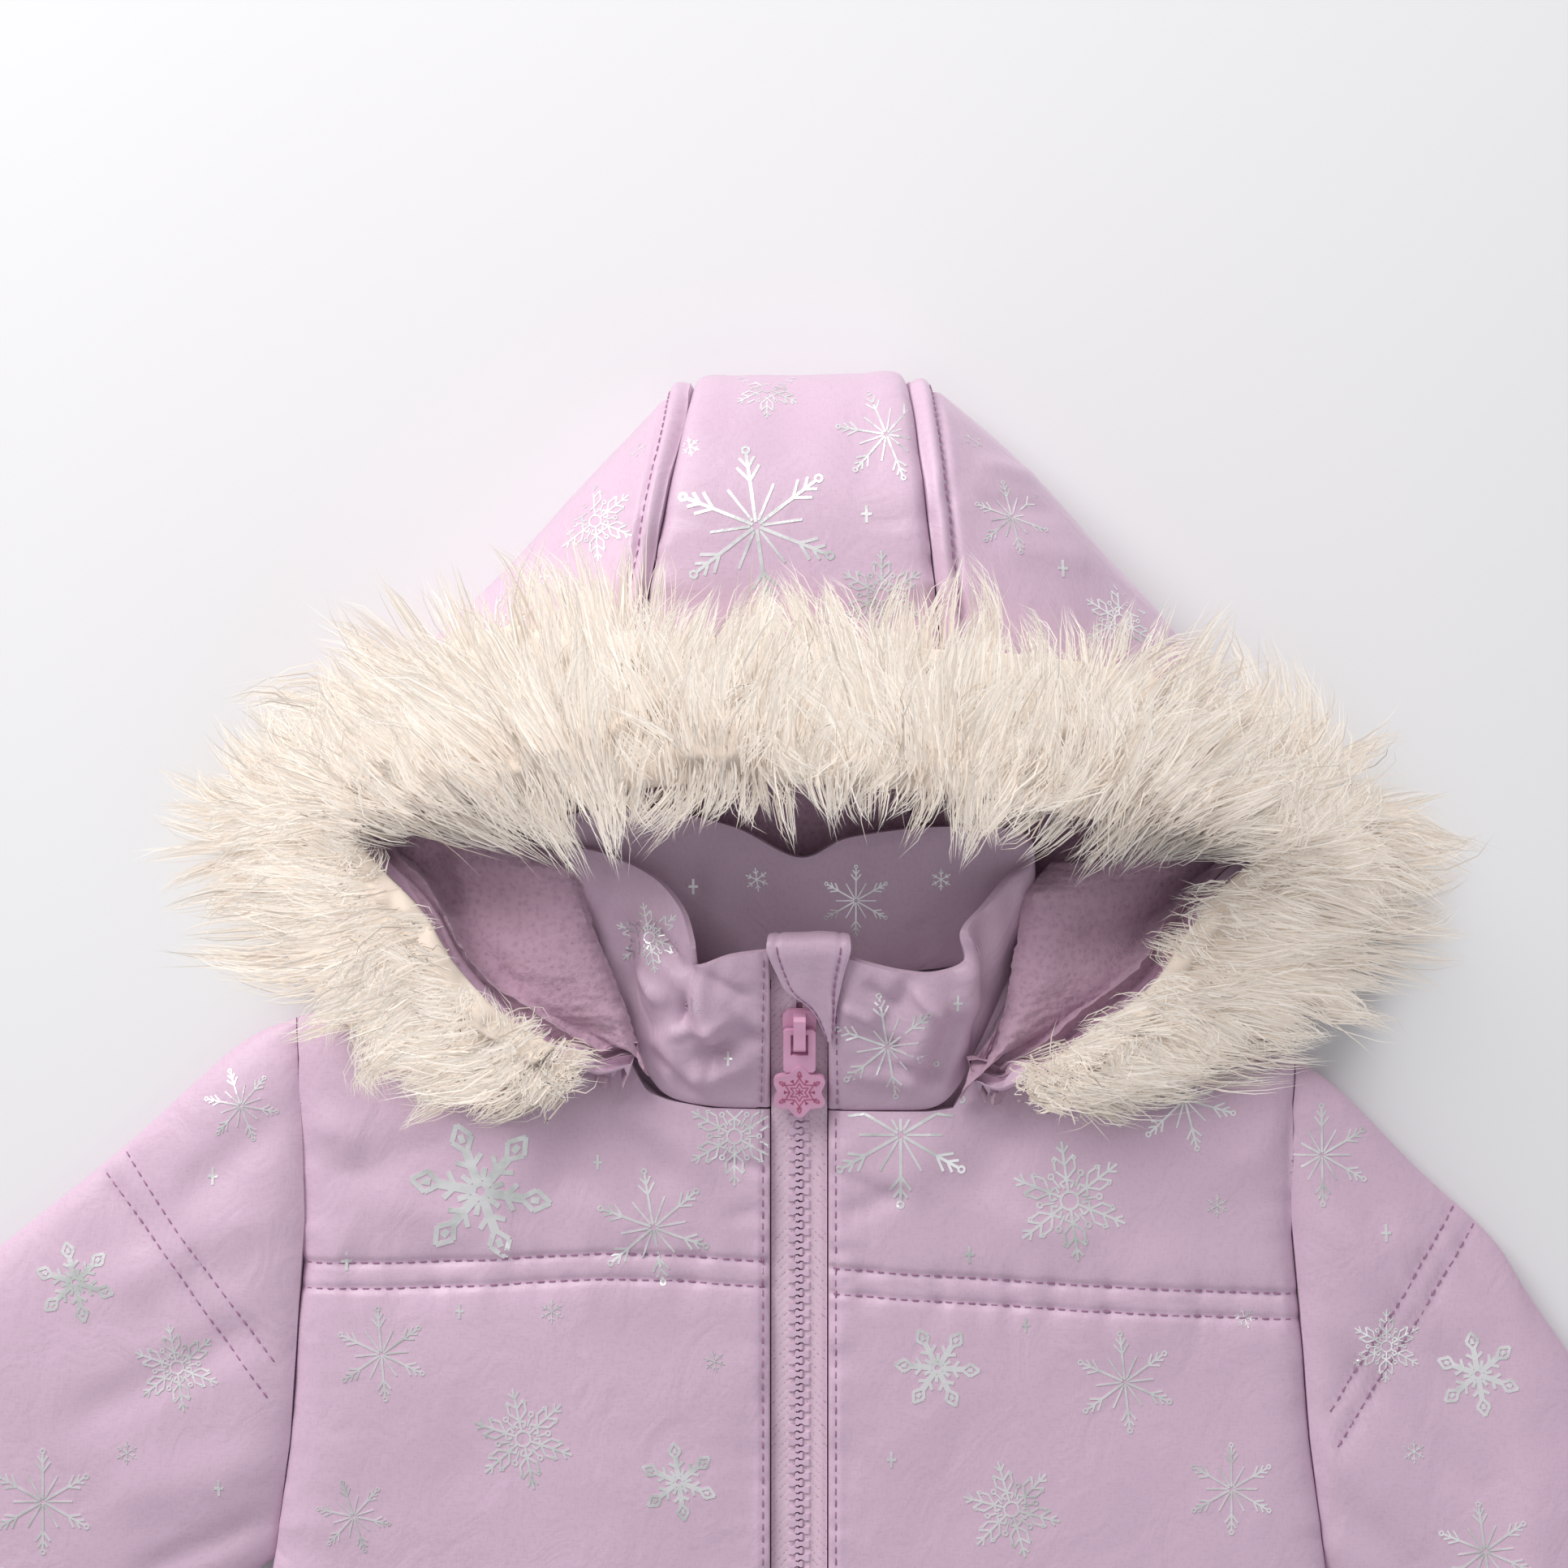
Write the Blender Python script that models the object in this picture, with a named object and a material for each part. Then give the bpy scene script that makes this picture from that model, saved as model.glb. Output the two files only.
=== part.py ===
"""Child's padded winter coat with a fur-trimmed hood, lying flat on its back.

Lengths are millimetres and become metres when a mesh is written. +X is the photo's right (the
wearer's left), +Y runs from hem to hood, +Z is up. The origin is on the underside of the back, on
the centre line.
"""
import math

import bmesh
import bpy
import numpy as np

MM = 0.001

# ---------------------------------------------------------------- driving dimensions
SEAM_GAP = 0.3            # air between two pieces that are sewn together
HEM_Y = -297.0            # hem of the body
BACK_THICK = 6.4          # padded back, lying on the surface
FRONT_UNDER = 6.8         # underside of the padded fronts
FRONT_TOP = 16.2          # outer face of the fronts, away from their edges
ZIP_HALF = 8.3            # from the zip's middle to a front edge
YOKE_Y = 73.0             # double row of stitching across the chest
YOKE_HALF = 8.0           # reach of the trough it pulls into the padding
YOKE_DEPTH = 1.5
SIDE_DROP, SIDE_REACH = 4.6, 4.5           # the padding thins towards a side seam,
ZIP_DROP, ZIP_REACH = 2.4, 2.2             # a front edge,
HEM_DROP, HEM_REACH = 4.0, 5.0             # the hem
SHOULDER_DROP, SHOULDER_REACH = 4.2, 5.0   # and the shoulder seam
BACK_DROP, BACK_REACH = 1.6, 5.0
FAN_HEIGHT = 0.9          # folds on the chest that fan out from the hood's lower end
FAN_X, FAN_Y = 70.0, 150.0
FAN_TOP, FAN_BOTTOM = 112.0, -40.0
SLACK_HEIGHT = 0.7        # shallow waves below the chest
SLACK_TOP = 60.0

SLEEVE_MIDDLE = 6.8       # height of a sleeve's edges, where its two layers meet
SLEEVE_PUFF = 8.6         # its upper layer above that
SLEEVE_CREASE = 0.8       # how much the puff comes and goes along the sleeve
SLEEVE_WALL = 6.0         # padded wall at the folds
SLEEVE_SLIT = 0.5         # half the air between the layers

HOOD_WALL = 3.5           # padded hood shell
LINING_WALL = 3.0         # fleece lining
COLLAR_WALL = 3.6         # padded collar
COLLAR_BOW = 1.6          # how far it bulges between seam and rim
TAPE_THICK = 1.2
TAPE_GAP = 0.9            # from the zip's middle to a tape's edge; the teeth fill it
GUARD_WALL = 1.4

FUR_THIN = 2.5            # pile at the edges of the fur strip
FUR_OVERHANG = 11.0       # how far the top strip hangs over the face edge
FUR_LIP = 2.0             # how far the side strips reach over the face edge
FUR_LIFT = 2.4            # underside of the strip above the face edge
FUR_HOLLOW = 0.9          # how far the underside rises between its two edges
FUR_ACROSS = (0.0, 0.08, 0.16, 0.24, 0.36, 0.5, 0.66, 0.8, 0.92, 1.0)

# ---------------------------------------------------------------- tables
# Sides of the body, from the hem up: half widths on the photo's left and right.
SIDES = (
    # y, left, right
    (-297.0, 166.0, 166.0),
    (-150.0, 158.0, 158.0),
    (-11.0, 149.2, 149.2),
    (25.0, 144.0, 144.5),
    (63.0, 141.5, 141.6),
    (88.0, 139.8, 139.2),
    (111.0, 140.5, 138.9),
    (127.0, 141.5, 140.6),
    (146.0, 143.0, 141.6),
)

# Upper edge of the fronts: neck curve, then shoulder. x runs outwards from the zip.
FRONT_EDGE = (
    # left x, left y, right x, right y
    (ZIP_HALF, 119.0, ZIP_HALF, 118.6),
    (25.0, 119.4, 25.0, 118.4),
    (36.5, 121.5, 36.5, 118.4),
    (43.0, 124.0, 43.5, 119.4),
    (46.6, 130.0, 47.6, 126.0),
    (49.8, 137.0, 50.8, 133.0),
    (54.0, 146.0, 54.6, 141.5),
    (60.0, 156.0, 60.0, 151.0),
    (65.0, 162.5, 65.0, 158.0),
    (92.0, 157.0, 92.0, 151.5),
    (120.0, 151.0, 120.0, 142.0),
    (135.0, 147.0, 133.0, 136.5),
    (142.8, 144.5, 140.8, 133.2),
)

# Upper edge of the back: shoulders and the back of the neck.
BACK_EDGE = (
    # x, y
    (-142.8, 144.5), (-110.0, 153.0), (-65.0, 162.5), (-57.0, 160.5), (-40.0, 155.0),
    (-20.0, 153.0), (0.0, 152.5), (20.0, 153.0), (40.0, 154.0), (57.0, 157.0),
    (65.0, 158.0), (110.0, 146.0), (140.8, 133.2),
)

# Rows of the fronts and the back below the neck, from the hem up.
BODY_ROWS = (-297.0, -292.0, -276.0, -235.0, -180.0, -120.0, -60.0, -10.0, 25.0, 50.0,
             YOKE_Y - YOKE_HALF, YOKE_Y - 4.0, YOKE_Y, YOKE_Y + 4.0, YOKE_Y + YOKE_HALF, 96.0)
SHOULDER_ROWS = (0.3, 0.6, 0.85, 1.0)

# Sleeves, from the armhole to the cuff: upper and lower end of each section.
SLEEVES = {
    "left": (
        # top x, top y, under x, under y
        (-143.2, 144.6, -149.9, -9.0), (-160.0, 136.5, -165.0, -20.0),
        (-192.0, 108.0, -187.0, -34.5), (-226.0, 80.6, -213.0, -51.0),
        (-270.0, 45.5, -247.0, -72.0), (-318.0, 7.0, -283.0, -94.0),
        (-360.0, -27.0, -315.0, -114.0), (-392.0, -52.5, -337.0, -127.5),
        (-398.0, -57.0, -341.0, -130.0)),
    "right": (
        (142.0, 133.2, 149.9, -14.0), (155.0, 123.0, 163.0, -29.0),
        (176.0, 101.6, 180.0, -49.0), (197.5, 81.5, 197.0, -72.0),
        (211.0, 61.0, 212.0, -92.0), (246.0, 12.0, 233.0, -121.0),
        (292.0, -48.0, 252.0, -147.0), (334.0, -104.0, 265.0, -163.0),
        (340.0, -112.0, 268.0, -167.0)),
}

# Collar, round from the zip on the photo's left: where it is sewn on and where its rim lies.
COLLAR = (
    # base x, y, z, rim x, y, z
    (-8.3, 119.9, 13.8, -8.3, 165.0, 36.0),
    (-24.0, 120.4, 13.8, -19.0, 163.5, 36.0),
    (-36.0, 123.0, 14.0, -29.0, 160.5, 35.0),
    (-42.0, 129.0, 14.0, -30.0, 168.0, 34.0),
    (-46.0, 137.0, 14.0, -33.0, 177.0, 31.0),
    (-50.0, 146.0, 13.5, -41.0, 185.5, 27.5),
    (-55.0, 154.5, 13.0, -54.0, 191.5, 24.0),
    (-57.0, 161.0, 12.5, -66.0, 195.0, 21.5),
    (-52.0, 164.0, 11.0, -65.0, 202.5, 19.5),
    (-38.0, 159.5, 9.6, -40.0, 203.5, 18.5),
    (-18.0, 156.5, 9.6, -18.5, 199.0, 18.0),
    (0.0, 155.5, 9.6, 0.0, 190.5, 18.0),
    (18.0, 156.5, 9.6, 14.0, 196.0, 18.0),
    (36.0, 158.5, 9.6, 38.0, 199.0, 18.5),
    (51.0, 160.0, 11.0, 61.5, 198.0, 19.5),
    (57.0, 156.5, 12.5, 65.0, 190.5, 21.5),
    (55.0, 149.0, 13.0, 58.0, 184.5, 24.5),
    (51.5, 141.0, 13.5, 51.5, 177.0, 29.0),
    (47.5, 133.0, 14.0, 45.5, 170.0, 33.0),
    (43.5, 125.0, 14.0, 46.0, 162.0, 35.0),
    (37.0, 120.0, 14.0, 36.0, 158.5, 36.5),
    (24.0, 119.4, 13.8, 22.0, 160.5, 36.5),
    (8.3, 119.4, 13.8, 8.3, 165.0, 36.5),
)

# Hood, a flattened bag, round from its front end on the photo's left. Each row is a section that
# runs from the neck seam along the surface to the fold, turns up there, and ends at the face edge.
# The last columns are the tip of the fur strip, the height of the strip's underside there, and
# how thick its pile stands.
HOOD = (
    # neck x, y, z; fold x, y, z; turn; crest run, z; face x, y, z; fur tip x, y, z; pile
    (-47.0, 138.5, 16.8, -46.3, 125.0, 16.8, 8.6, 1.2, 29, -46.2, 126.2, 29, -53, 124, 24, 5),
    (-52.3, 144.5, 16.8, -57.0, 129.5, 16.8, 8.6, 1.2, 31, -56.5, 130.6, 31, -68, 120, 17.5, 11),
    (-56.5, 151.5, 16.8, -69.5, 136.0, 16.8, 8.6, 1.2, 33, -68.7, 136.9, 33, -93, 117, 17.5, 13),
    (-62.0, 158.5, 16.8, -84.0, 145.5, 16.8, 8.6, 1.2, 34, -83.0, 146.1, 34, -123, 129, 17.5, 14),
    (-66.5, 164.0, 16.6, -97.5, 160.0, 14.5, 8.6, 1.2, 32, -96.3, 160.2, 32, -146, 148, 15, 14),
    (-67.0, 170.0, 9.0, -107.0, 175.5, 4.0, 8.6, 1.2, 26, -105.8, 175.3, 26, -162, 165, 3, 14),
    (-65.0, 175.0, 3.0, -120.0, 188.0, 0.0, 8.6, 1.5, 21, -118.6, 187.7, 21, -173, 183, 3, 15),
    (-61.5, 178.0, 0.8, -131.0, 200.0, 0.0, 8.8, 4.0, 22, -127.0, 199.0, 22, -175, 204, 6, 16),
    (-56.0, 178.5, 0.0, -132.0, 219.0, 0.0, 9.5, 18.0, 32, -111.0, 205.0, 31, -159, 228, 13, 18),
    (-50.0, 176.0, 0.0, -110.0, 246.0, 0.0, 11.0, 34.0, 48, -88.0, 210.0, 47, -129, 253, 27, 20),
    (-44.0, 172.5, 0.0, -80.0, 276.0, 0.0, 12.0, 50.0, 58, -66.0, 214.0, 57, -93, 266, 44, 22),
    (-38.0, 169.0, 0.0, -50.0, 308.0, 0.0, 12.0, 60.0, 62, -56.0, 217.0, 60, -67, 267, 58, 22),
    (-32.0, 167.0, 0.0, -31.0, 325.6, 0.0, 12.0, 62.0, 63, -48.0, 218.0, 61, -50, 265, 62, 23),
    (-16.0, 164.0, 0.0, -16.0, 326.8, 0.0, 12.0, 62.0, 64, -24.0, 220.0, 62, -24, 262, 64, 23),
    (0.0, 164.0, 0.0, 0.0, 326.6, 0.0, 12.0, 62.0, 64, -2.0, 220.0, 62, -2, 260, 64, 23),
    (16.0, 164.0, 0.0, 16.0, 326.8, 0.0, 12.0, 62.0, 64, 20.0, 219.0, 62, 20, 259, 64, 23),
    (32.0, 167.0, 0.0, 31.0, 326.4, 0.0, 12.0, 62.0, 63, 41.0, 217.0, 61, 43, 258, 62, 23),
    (38.0, 168.0, 0.0, 52.0, 311.5, 0.0, 12.0, 60.0, 62, 51.0, 216.0, 60, 62, 257, 58, 22),
    (44.0, 170.5, 0.0, 82.0, 281.0, 0.0, 12.0, 50.0, 58, 68.0, 212.0, 57, 88, 254, 44, 22),
    (50.0, 173.0, 0.0, 112.0, 247.0, 0.0, 11.0, 34.0, 48, 92.0, 207.0, 47, 121, 246, 27, 20),
    (56.0, 174.5, 0.0, 136.0, 215.0, 0.0, 9.5, 18.0, 32, 115.0, 201.0, 31, 157, 227, 13, 18),
    (61.5, 173.5, 0.8, 134.0, 193.5, 0.0, 8.8, 4.0, 22, 130.0, 192.4, 22, 181, 198, 6, 16),
    (65.5, 170.0, 3.0, 121.5, 183.0, 0.0, 8.6, 1.5, 21, 120.2, 182.7, 21, 181, 176, 3, 15),
    (67.5, 165.0, 9.0, 110.0, 170.0, 4.0, 8.6, 1.2, 26, 108.8, 169.8, 26, 173, 159, 3, 14),
    (67.0, 159.5, 16.6, 100.0, 155.0, 14.5, 8.6, 1.2, 32, 98.8, 155.2, 32, 152, 143, 15, 14),
    (62.5, 153.8, 16.8, 84.0, 142.0, 16.8, 8.6, 1.2, 34, 83.0, 142.6, 34, 127, 131, 17.5, 14),
    (57.5, 146.5, 16.8, 69.5, 131.0, 16.8, 8.6, 1.2, 33, 68.7, 131.9, 33, 97, 119, 17.5, 13),
    (53.8, 140.0, 16.8, 57.0, 125.0, 16.8, 8.6, 1.2, 31, 56.5, 126.1, 31, 71, 117.5, 17.5, 11),
    (49.5, 134.0, 16.8, 48.5, 120.5, 16.8, 8.6, 1.2, 29, 48.4, 121.7, 29, 55, 119, 24, 5),
)
SEAM_LEFT, SEAM_RIGHT = 12, 16             # rows of HOOD where the side panels meet the middle
FUR_START, FUR_CORNER_LEFT, FUR_CORNER_RIGHT, FUR_END = 1, 7, 21, 27
HOOD_STEPS_LOWER, HOOD_STEPS_TURN, HOOD_STEPS_UPPER = 5, 4, 8

# Chin guard: rows from behind the rim, over it, and down the slope to the tip.
GUARD = (
    # y, z, left x, right x
    (169.0, 33.0, -7.0, 12.5),
    (169.2, 37.2, -8.4, 13.6),
    (167.6, 40.4, -9.0, 14.0),
    (164.6, 41.0, -9.0, 14.0),
    (159.0, 38.3, -6.6, 12.4),
    (153.5, 35.6, -3.6, 11.2),
    (149.6, 33.7, 1.8, 10.4),
    (146.2, 32.1, 4.6, 10.0),
    (143.0, 30.5, 6.2, 9.7),
    (139.2, 28.6, 7.8, 9.2),
)

# Zip tapes: height of their middle, from the hem up.
TAPE = (
    # y, z
    (-290.0, 10.5), (-200.0, 10.5), (-100.0, 10.5), (0.0, 10.5), (70.0, 10.5), (104.0, 10.5),
    (112.0, 11.2), (120.0, 13.6), (164.0, 32.4),
)
ZIP_SLOPE = math.atan2(32.4 - 13.6, 164.0 - 120.0)

# Slider and pull tab, in their own frame: origin on the pull tab's pin, +Y up the zip.
PIN_Y = 143.5             # where the pin lies along the zip
PIN_LIFT = 4.2            # pin above the tape's middle
PIN_HALF = 0.75           # half thickness of the ring's top bar and of the tab
RING_HALF = 4.5
RING_TOP = 0.75
RING_WINDOW_HALF = 2.45
RING_WINDOW_LENGTH = 6.4
STEM_END = -12.5
STAR_Y = -18.6
STAR_RADIUS = 8.1
STAR_WAVE = 0.115         # how far the star's six points stand out
TAB_HALF = 1.1
BRIDGE_HALF = 1.7
PLATE_HALF = 4.7

COLOURS = {
    # material: red, green, blue, roughness
    "shell": (0.62, 0.44, 0.62, 0.45),
    "fleece": (0.43, 0.29, 0.42, 0.95),
    "fur": (0.84, 0.76, 0.66, 0.9),
    "tape": (0.58, 0.40, 0.56, 0.8),
    "plastic": (0.80, 0.42, 0.60, 0.35),
}


# ---------------------------------------------------------------- helpers
def clear_scene():
    for thing in list(bpy.data.objects):
        bpy.data.objects.remove(thing, do_unlink=True)


def material(name):
    """One Principled material for each cloth or plastic."""
    made = bpy.data.materials.get(name)
    if made is None:
        red, green, blue, rough = COLOURS[name]
        made = bpy.data.materials.new(name)
        made.use_nodes = True
        shader = made.node_tree.nodes["Principled BSDF"]
        shader.inputs["Base Color"].default_value = (red, green, blue, 1.0)
        shader.inputs["Roughness"].default_value = rough
    return made


def new_object(name, mesh, finish):
    mesh.materials.append(material(finish))
    thing = bpy.data.objects.new(name, mesh)
    bpy.context.collection.objects.link(thing)
    return thing


def grid_faces(rows, columns, start, flip=False, wrap=False):
    """Quads of a rows x columns grid of vertices that starts at vertex number start."""
    faces = []
    for i in range(rows - 1):
        for j in range(columns if wrap else columns - 1):
            k = (j + 1) % columns
            quad = (start + i * columns + j, start + (i + 1) * columns + j,
                    start + (i + 1) * columns + k, start + i * columns + k)
            faces.append(quad[::-1] if flip else quad)
    return faces


def finish_mesh(name, points, faces, finish):
    """Write the mesh in metres, with its faces turned outwards and smooth shading."""
    mesh = bpy.data.meshes.new(name)
    mesh.from_pydata([tuple(p) for p in np.asarray(points, float) * MM], [], faces)
    shaped = bmesh.new()
    shaped.from_mesh(mesh)
    bmesh.ops.recalc_face_normals(shaped, faces=shaped.faces)
    bmesh.ops.triangulate(shaped, faces=shaped.faces)
    shaped.to_mesh(mesh)
    shaped.free()
    mesh.shade_smooth()
    mesh.set_sharp_from_angle(angle=math.radians(40))
    return new_object(name, mesh, finish)


def slab(name, outer, inner, finish):
    """A wall between two matching grids of points, closed all round its edge."""
    rows, columns = outer.shape[:2]
    count = rows * columns
    points = np.concatenate([outer.reshape(-1, 3), inner.reshape(-1, 3)])
    faces = grid_faces(rows, columns, 0) + grid_faces(rows, columns, count, flip=True)
    rim = [j for j in range(columns)]
    rim += [i * columns + columns - 1 for i in range(1, rows)]
    rim += [(rows - 1) * columns + j for j in range(columns - 2, -1, -1)]
    rim += [i * columns for i in range(rows - 2, 0, -1)]
    for a, b in zip(rim, rim[1:] + rim[:1]):
        faces.append((a, b, b + count, a + count))
    return finish_mesh(name, points, faces, finish)


def hollow_tube(name, outside, inside, finish):
    """A tube between two stacks of matching closed loops, open at both ends."""
    rows, columns = outside.shape[:2]
    count = rows * columns
    points = np.concatenate([outside.reshape(-1, 3), inside.reshape(-1, 3)])
    faces = grid_faces(rows, columns, 0, wrap=True)
    faces += grid_faces(rows, columns, count, flip=True, wrap=True)
    for row in (0, rows - 1):
        for j in range(columns):
            a, b = row * columns + j, row * columns + (j + 1) % columns
            faces.append((a, b, b + count, a + count))
    return finish_mesh(name, points, faces, finish)


def along(table, where):
    """Catmull-Rom curve through the rows of a table, read at the row numbers in where."""
    table = np.asarray(table, float)
    last = len(table) - 1
    where = np.clip(np.asarray(where, float), 0, last)
    row = np.minimum(where.astype(int), last - 1)
    t = (where - row)[:, None]
    before, here = table[np.maximum(row - 1, 0)], table[row]
    there, after = table[row + 1], table[np.minimum(row + 2, last)]
    return 0.5 * (2 * here + (there - before) * t
                  + (2 * before - 5 * here + 4 * there - after) * t ** 2
                  + (3 * here - 3 * there + after - before) * t ** 3)


def smooth_step(value):
    value = np.clip(value, 0.0, 1.0)
    return value * value * (3.0 - 2.0 * value)


def pieced(start, end, parts):
    """Row numbers from start to end, shortened by a seam's half gap, in equal parts."""
    trim = 0.015
    return np.linspace(start + trim, end - trim, parts + 1)


# ---------------------------------------------------------------- body
def side_width(y, side):
    table = np.asarray(SIDES)
    return np.interp(y, table[:, 0], table[:, 1 if side < 0 else 2])


def drop(depth, distance, reach):
    """How much thinner the padding is at a distance from a seam."""
    return depth * np.exp(-np.maximum(distance, 0.0) / reach)


def front_height(x, y, top_y, side):
    """Outer face of a front: flat, thinner at its edges, a trough along the stitched rows, soft
    folds that fan out from the hood's lower end, and shallow waves below."""
    edge = side_width(y, side) - np.abs(x)
    shoulder = smooth_step((np.abs(x) - 52.0) / 12.0)
    height = FRONT_TOP - drop(SIDE_DROP, edge, SIDE_REACH)
    height -= drop(ZIP_DROP, np.abs(x) - ZIP_HALF, ZIP_REACH)
    height -= drop(HEM_DROP, y - HEM_Y, HEM_REACH)
    height -= drop(SHOULDER_DROP, top_y - y, SHOULDER_REACH) * shoulder
    height -= YOKE_DEPTH * np.exp(-((y - YOKE_Y) / 5.5) ** 2)
    inside = smooth_step(edge / 25.0)
    chest = smooth_step((FAN_TOP - y) / 25.0) * smooth_step((y - FAN_BOTTOM) / 60.0)
    fan = np.sin(np.arctan2(np.abs(x) - FAN_X, FAN_Y - y) * 9.0 + 0.6)
    height += FAN_HEIGHT * chest * fan * inside
    slack = np.sin(y / 23.0 + np.abs(x) / 40.0)
    height += SLACK_HEIGHT * smooth_step((SLACK_TOP - y) / 60.0) * slack * inside
    return height


def body_rows(top_y):
    """Heights along Y of a panel's points: level rows, then rows that rise to its upper edge."""
    rows = [np.full(len(top_y), y) for y in BODY_ROWS]
    rows += [BODY_ROWS[-1] + (top_y - BODY_ROWS[-1]) * part for part in SHOULDER_ROWS]
    return np.array(rows)


def make_front(name, side):
    edge = np.asarray(FRONT_EDGE)
    top_x, top_y = (edge[:, 0], edge[:, 1]) if side < 0 else (edge[:, 2], edge[:, 3])
    across = (top_x - ZIP_HALF) / (top_x[-1] - ZIP_HALF)
    y = body_rows(top_y)
    wide = side_width(y, side)
    straight = ZIP_HALF + (wide - ZIP_HALF) * across
    x = straight + (top_x - straight) * smooth_step((y - SLACK_TOP) / 36.0)
    x = np.where(across == 1.0, wide, x)
    upper = front_height(x, y, top_y, side)
    outer = np.stack([side * x, y, upper], axis=-1)
    inner = np.stack([side * x, y, np.full_like(upper, FRONT_UNDER)], axis=-1)
    return slab(name, outer, inner, "shell")


def make_back():
    edge = np.asarray(BACK_EDGE)
    across = np.linspace(-1.0, 1.0, 19)
    top_x = np.where(across < 0, across * -edge[0, 0], across * edge[-1, 0])
    y = body_rows(np.interp(top_x, edge[:, 0], edge[:, 1]))
    wide = np.where(across < 0, side_width(y, -1), side_width(y, 1))
    upper = BACK_THICK - drop(BACK_DROP, wide * (1.0 - np.abs(across)), BACK_REACH)
    outer = np.stack([wide * across, y, upper], axis=-1)
    inner = np.stack([wide * across, y, np.zeros_like(upper)], axis=-1)
    return slab("back", outer, inner, "shell")


# ---------------------------------------------------------------- sleeves
def sleeve_loops(ends, side):
    """Sections from the armhole to the cuff: a flat-bottomed lens, and the slit inside it."""
    table = np.asarray(ends)
    where = np.concatenate([[0.0, 0.5], np.arange(1.0, len(table))])
    read = along(table, where)
    upper = np.cos(np.linspace(0.0, math.pi, 13))
    across = np.concatenate([upper, -upper[1:-1]])
    is_top = np.concatenate([np.ones(13), np.zeros(11)]).astype(bool)
    outside, inside = [], []
    for row, number in zip(read, where):
        top, under = row[:2], row[2:]
        width = np.linalg.norm(under - top)
        middle, half = (top + under) / 2, (top - under) / 2
        bulge = np.sqrt(np.maximum(1.0 - np.abs(across) ** 3.5, 0.0))
        crease = SLEEVE_CREASE * math.sin(number * 1.9)
        loft = np.where(is_top, SLEEVE_MIDDLE + (SLEEVE_PUFF + crease) * bulge,
                        SLEEVE_MIDDLE * (1.0 - np.sqrt(np.maximum(1 - across ** 8, 0.0))))
        place = middle + across[:, None] * half
        core = 1.0 - 2.0 * SLEEVE_WALL / width
        slit = np.where(is_top, SLEEVE_MIDDLE + SLEEVE_SLIT * bulge,
                        SLEEVE_MIDDLE - SLEEVE_SLIT * np.sqrt(np.maximum(1 - across ** 2, 0.0)))
        hollow = middle + across[:, None] * half * core
        if number == 0.0:
            place[:, 0] = side * (side_width(place[:, 1], side) + SEAM_GAP + 0.1)
            hollow[:, 0] = side * (side_width(hollow[:, 1], side) + SEAM_GAP + 0.1)
        outside.append(np.column_stack([place, loft]))
        inside.append(np.column_stack([hollow, slit]))
    return np.array(outside), np.array(inside)


def make_sleeve(name, side):
    outside, inside = sleeve_loops(SLEEVES["left" if side < 0 else "right"], side)
    return hollow_tube(name, outside, inside, "shell")


# ---------------------------------------------------------------- hood, lining and fur
def hood_surface(where):
    """Outer face of the hood, a grid of points: one row for each section number in where, from
    the neck seam to the face edge. A section is straight along the ground, turns up through a
    quarter circle, climbs an ellipse to its crest, and runs level to the face edge."""
    read = along(HOOD, where)
    neck, fold, face = read[:, 0:3], read[:, 3:6], read[:, 9:12]
    turn, run, crest = read[:, 6:7], read[:, 7:8], read[:, 8:9]
    grid = []
    inward = (neck - fold)[:, :2]
    inward /= np.linalg.norm(inward, axis=1, keepdims=True)
    toward = (face - fold)[:, :2]
    reach = np.linalg.norm(toward, axis=1, keepdims=True)
    toward = toward / reach
    foot = fold[:, :2] + inward * turn
    for part in np.linspace(0.0, 1.0, HOOD_STEPS_LOWER)[:-1]:
        plan = neck[:, :2] + (foot - neck[:, :2]) * part
        height = neck[:, 2:] + (fold[:, 2:] - neck[:, 2:]) * smooth_step(part)
        grid.append(np.hstack([plan, height]))
    for angle in np.linspace(0.0, math.pi / 2, HOOD_STEPS_TURN):
        plan = fold[:, :2] + inward * turn * (1.0 - math.sin(angle))
        grid.append(np.hstack([plan, fold[:, 2:] + turn * (1.0 - math.cos(angle))]))
    start = fold[:, 2:] + turn
    for part in np.linspace(0.0, 1.0, HOOD_STEPS_UPPER + 1)[1:]:
        ease = part ** 1.6
        distance = reach * ease
        climb = np.clip(distance / run, 0.0, 1.0)
        height = start + (crest - start) * np.sqrt(1.0 - (1.0 - climb) ** 2)
        sink = np.clip((distance - run) / np.maximum(reach - run, 0.01), 0.0, 1.0)
        height += (face[:, 2:] - crest) * sink
        grid.append(np.hstack([fold[:, :2] + toward * distance, height]))
    return np.stack(grid, axis=1)


def inward_normals(where):
    """Unit normals of the hood's outer face that point into the hood."""
    step = 0.02
    along_rows = hood_surface(np.asarray(where) + step) - hood_surface(np.asarray(where) - step)
    middle = hood_surface(where)
    along_path = np.gradient(middle, axis=1)
    normal = np.cross(along_rows, along_path)
    normal /= np.linalg.norm(normal, axis=2, keepdims=True)
    return normal


def hood_wall(name, where, depth, thick, finish):
    """A wall that lies at depth below the hood's outer face."""
    skin, normal = hood_surface(where), inward_normals(where)
    return slab(name, skin + normal * depth, skin + normal * (depth + thick), finish)


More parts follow.
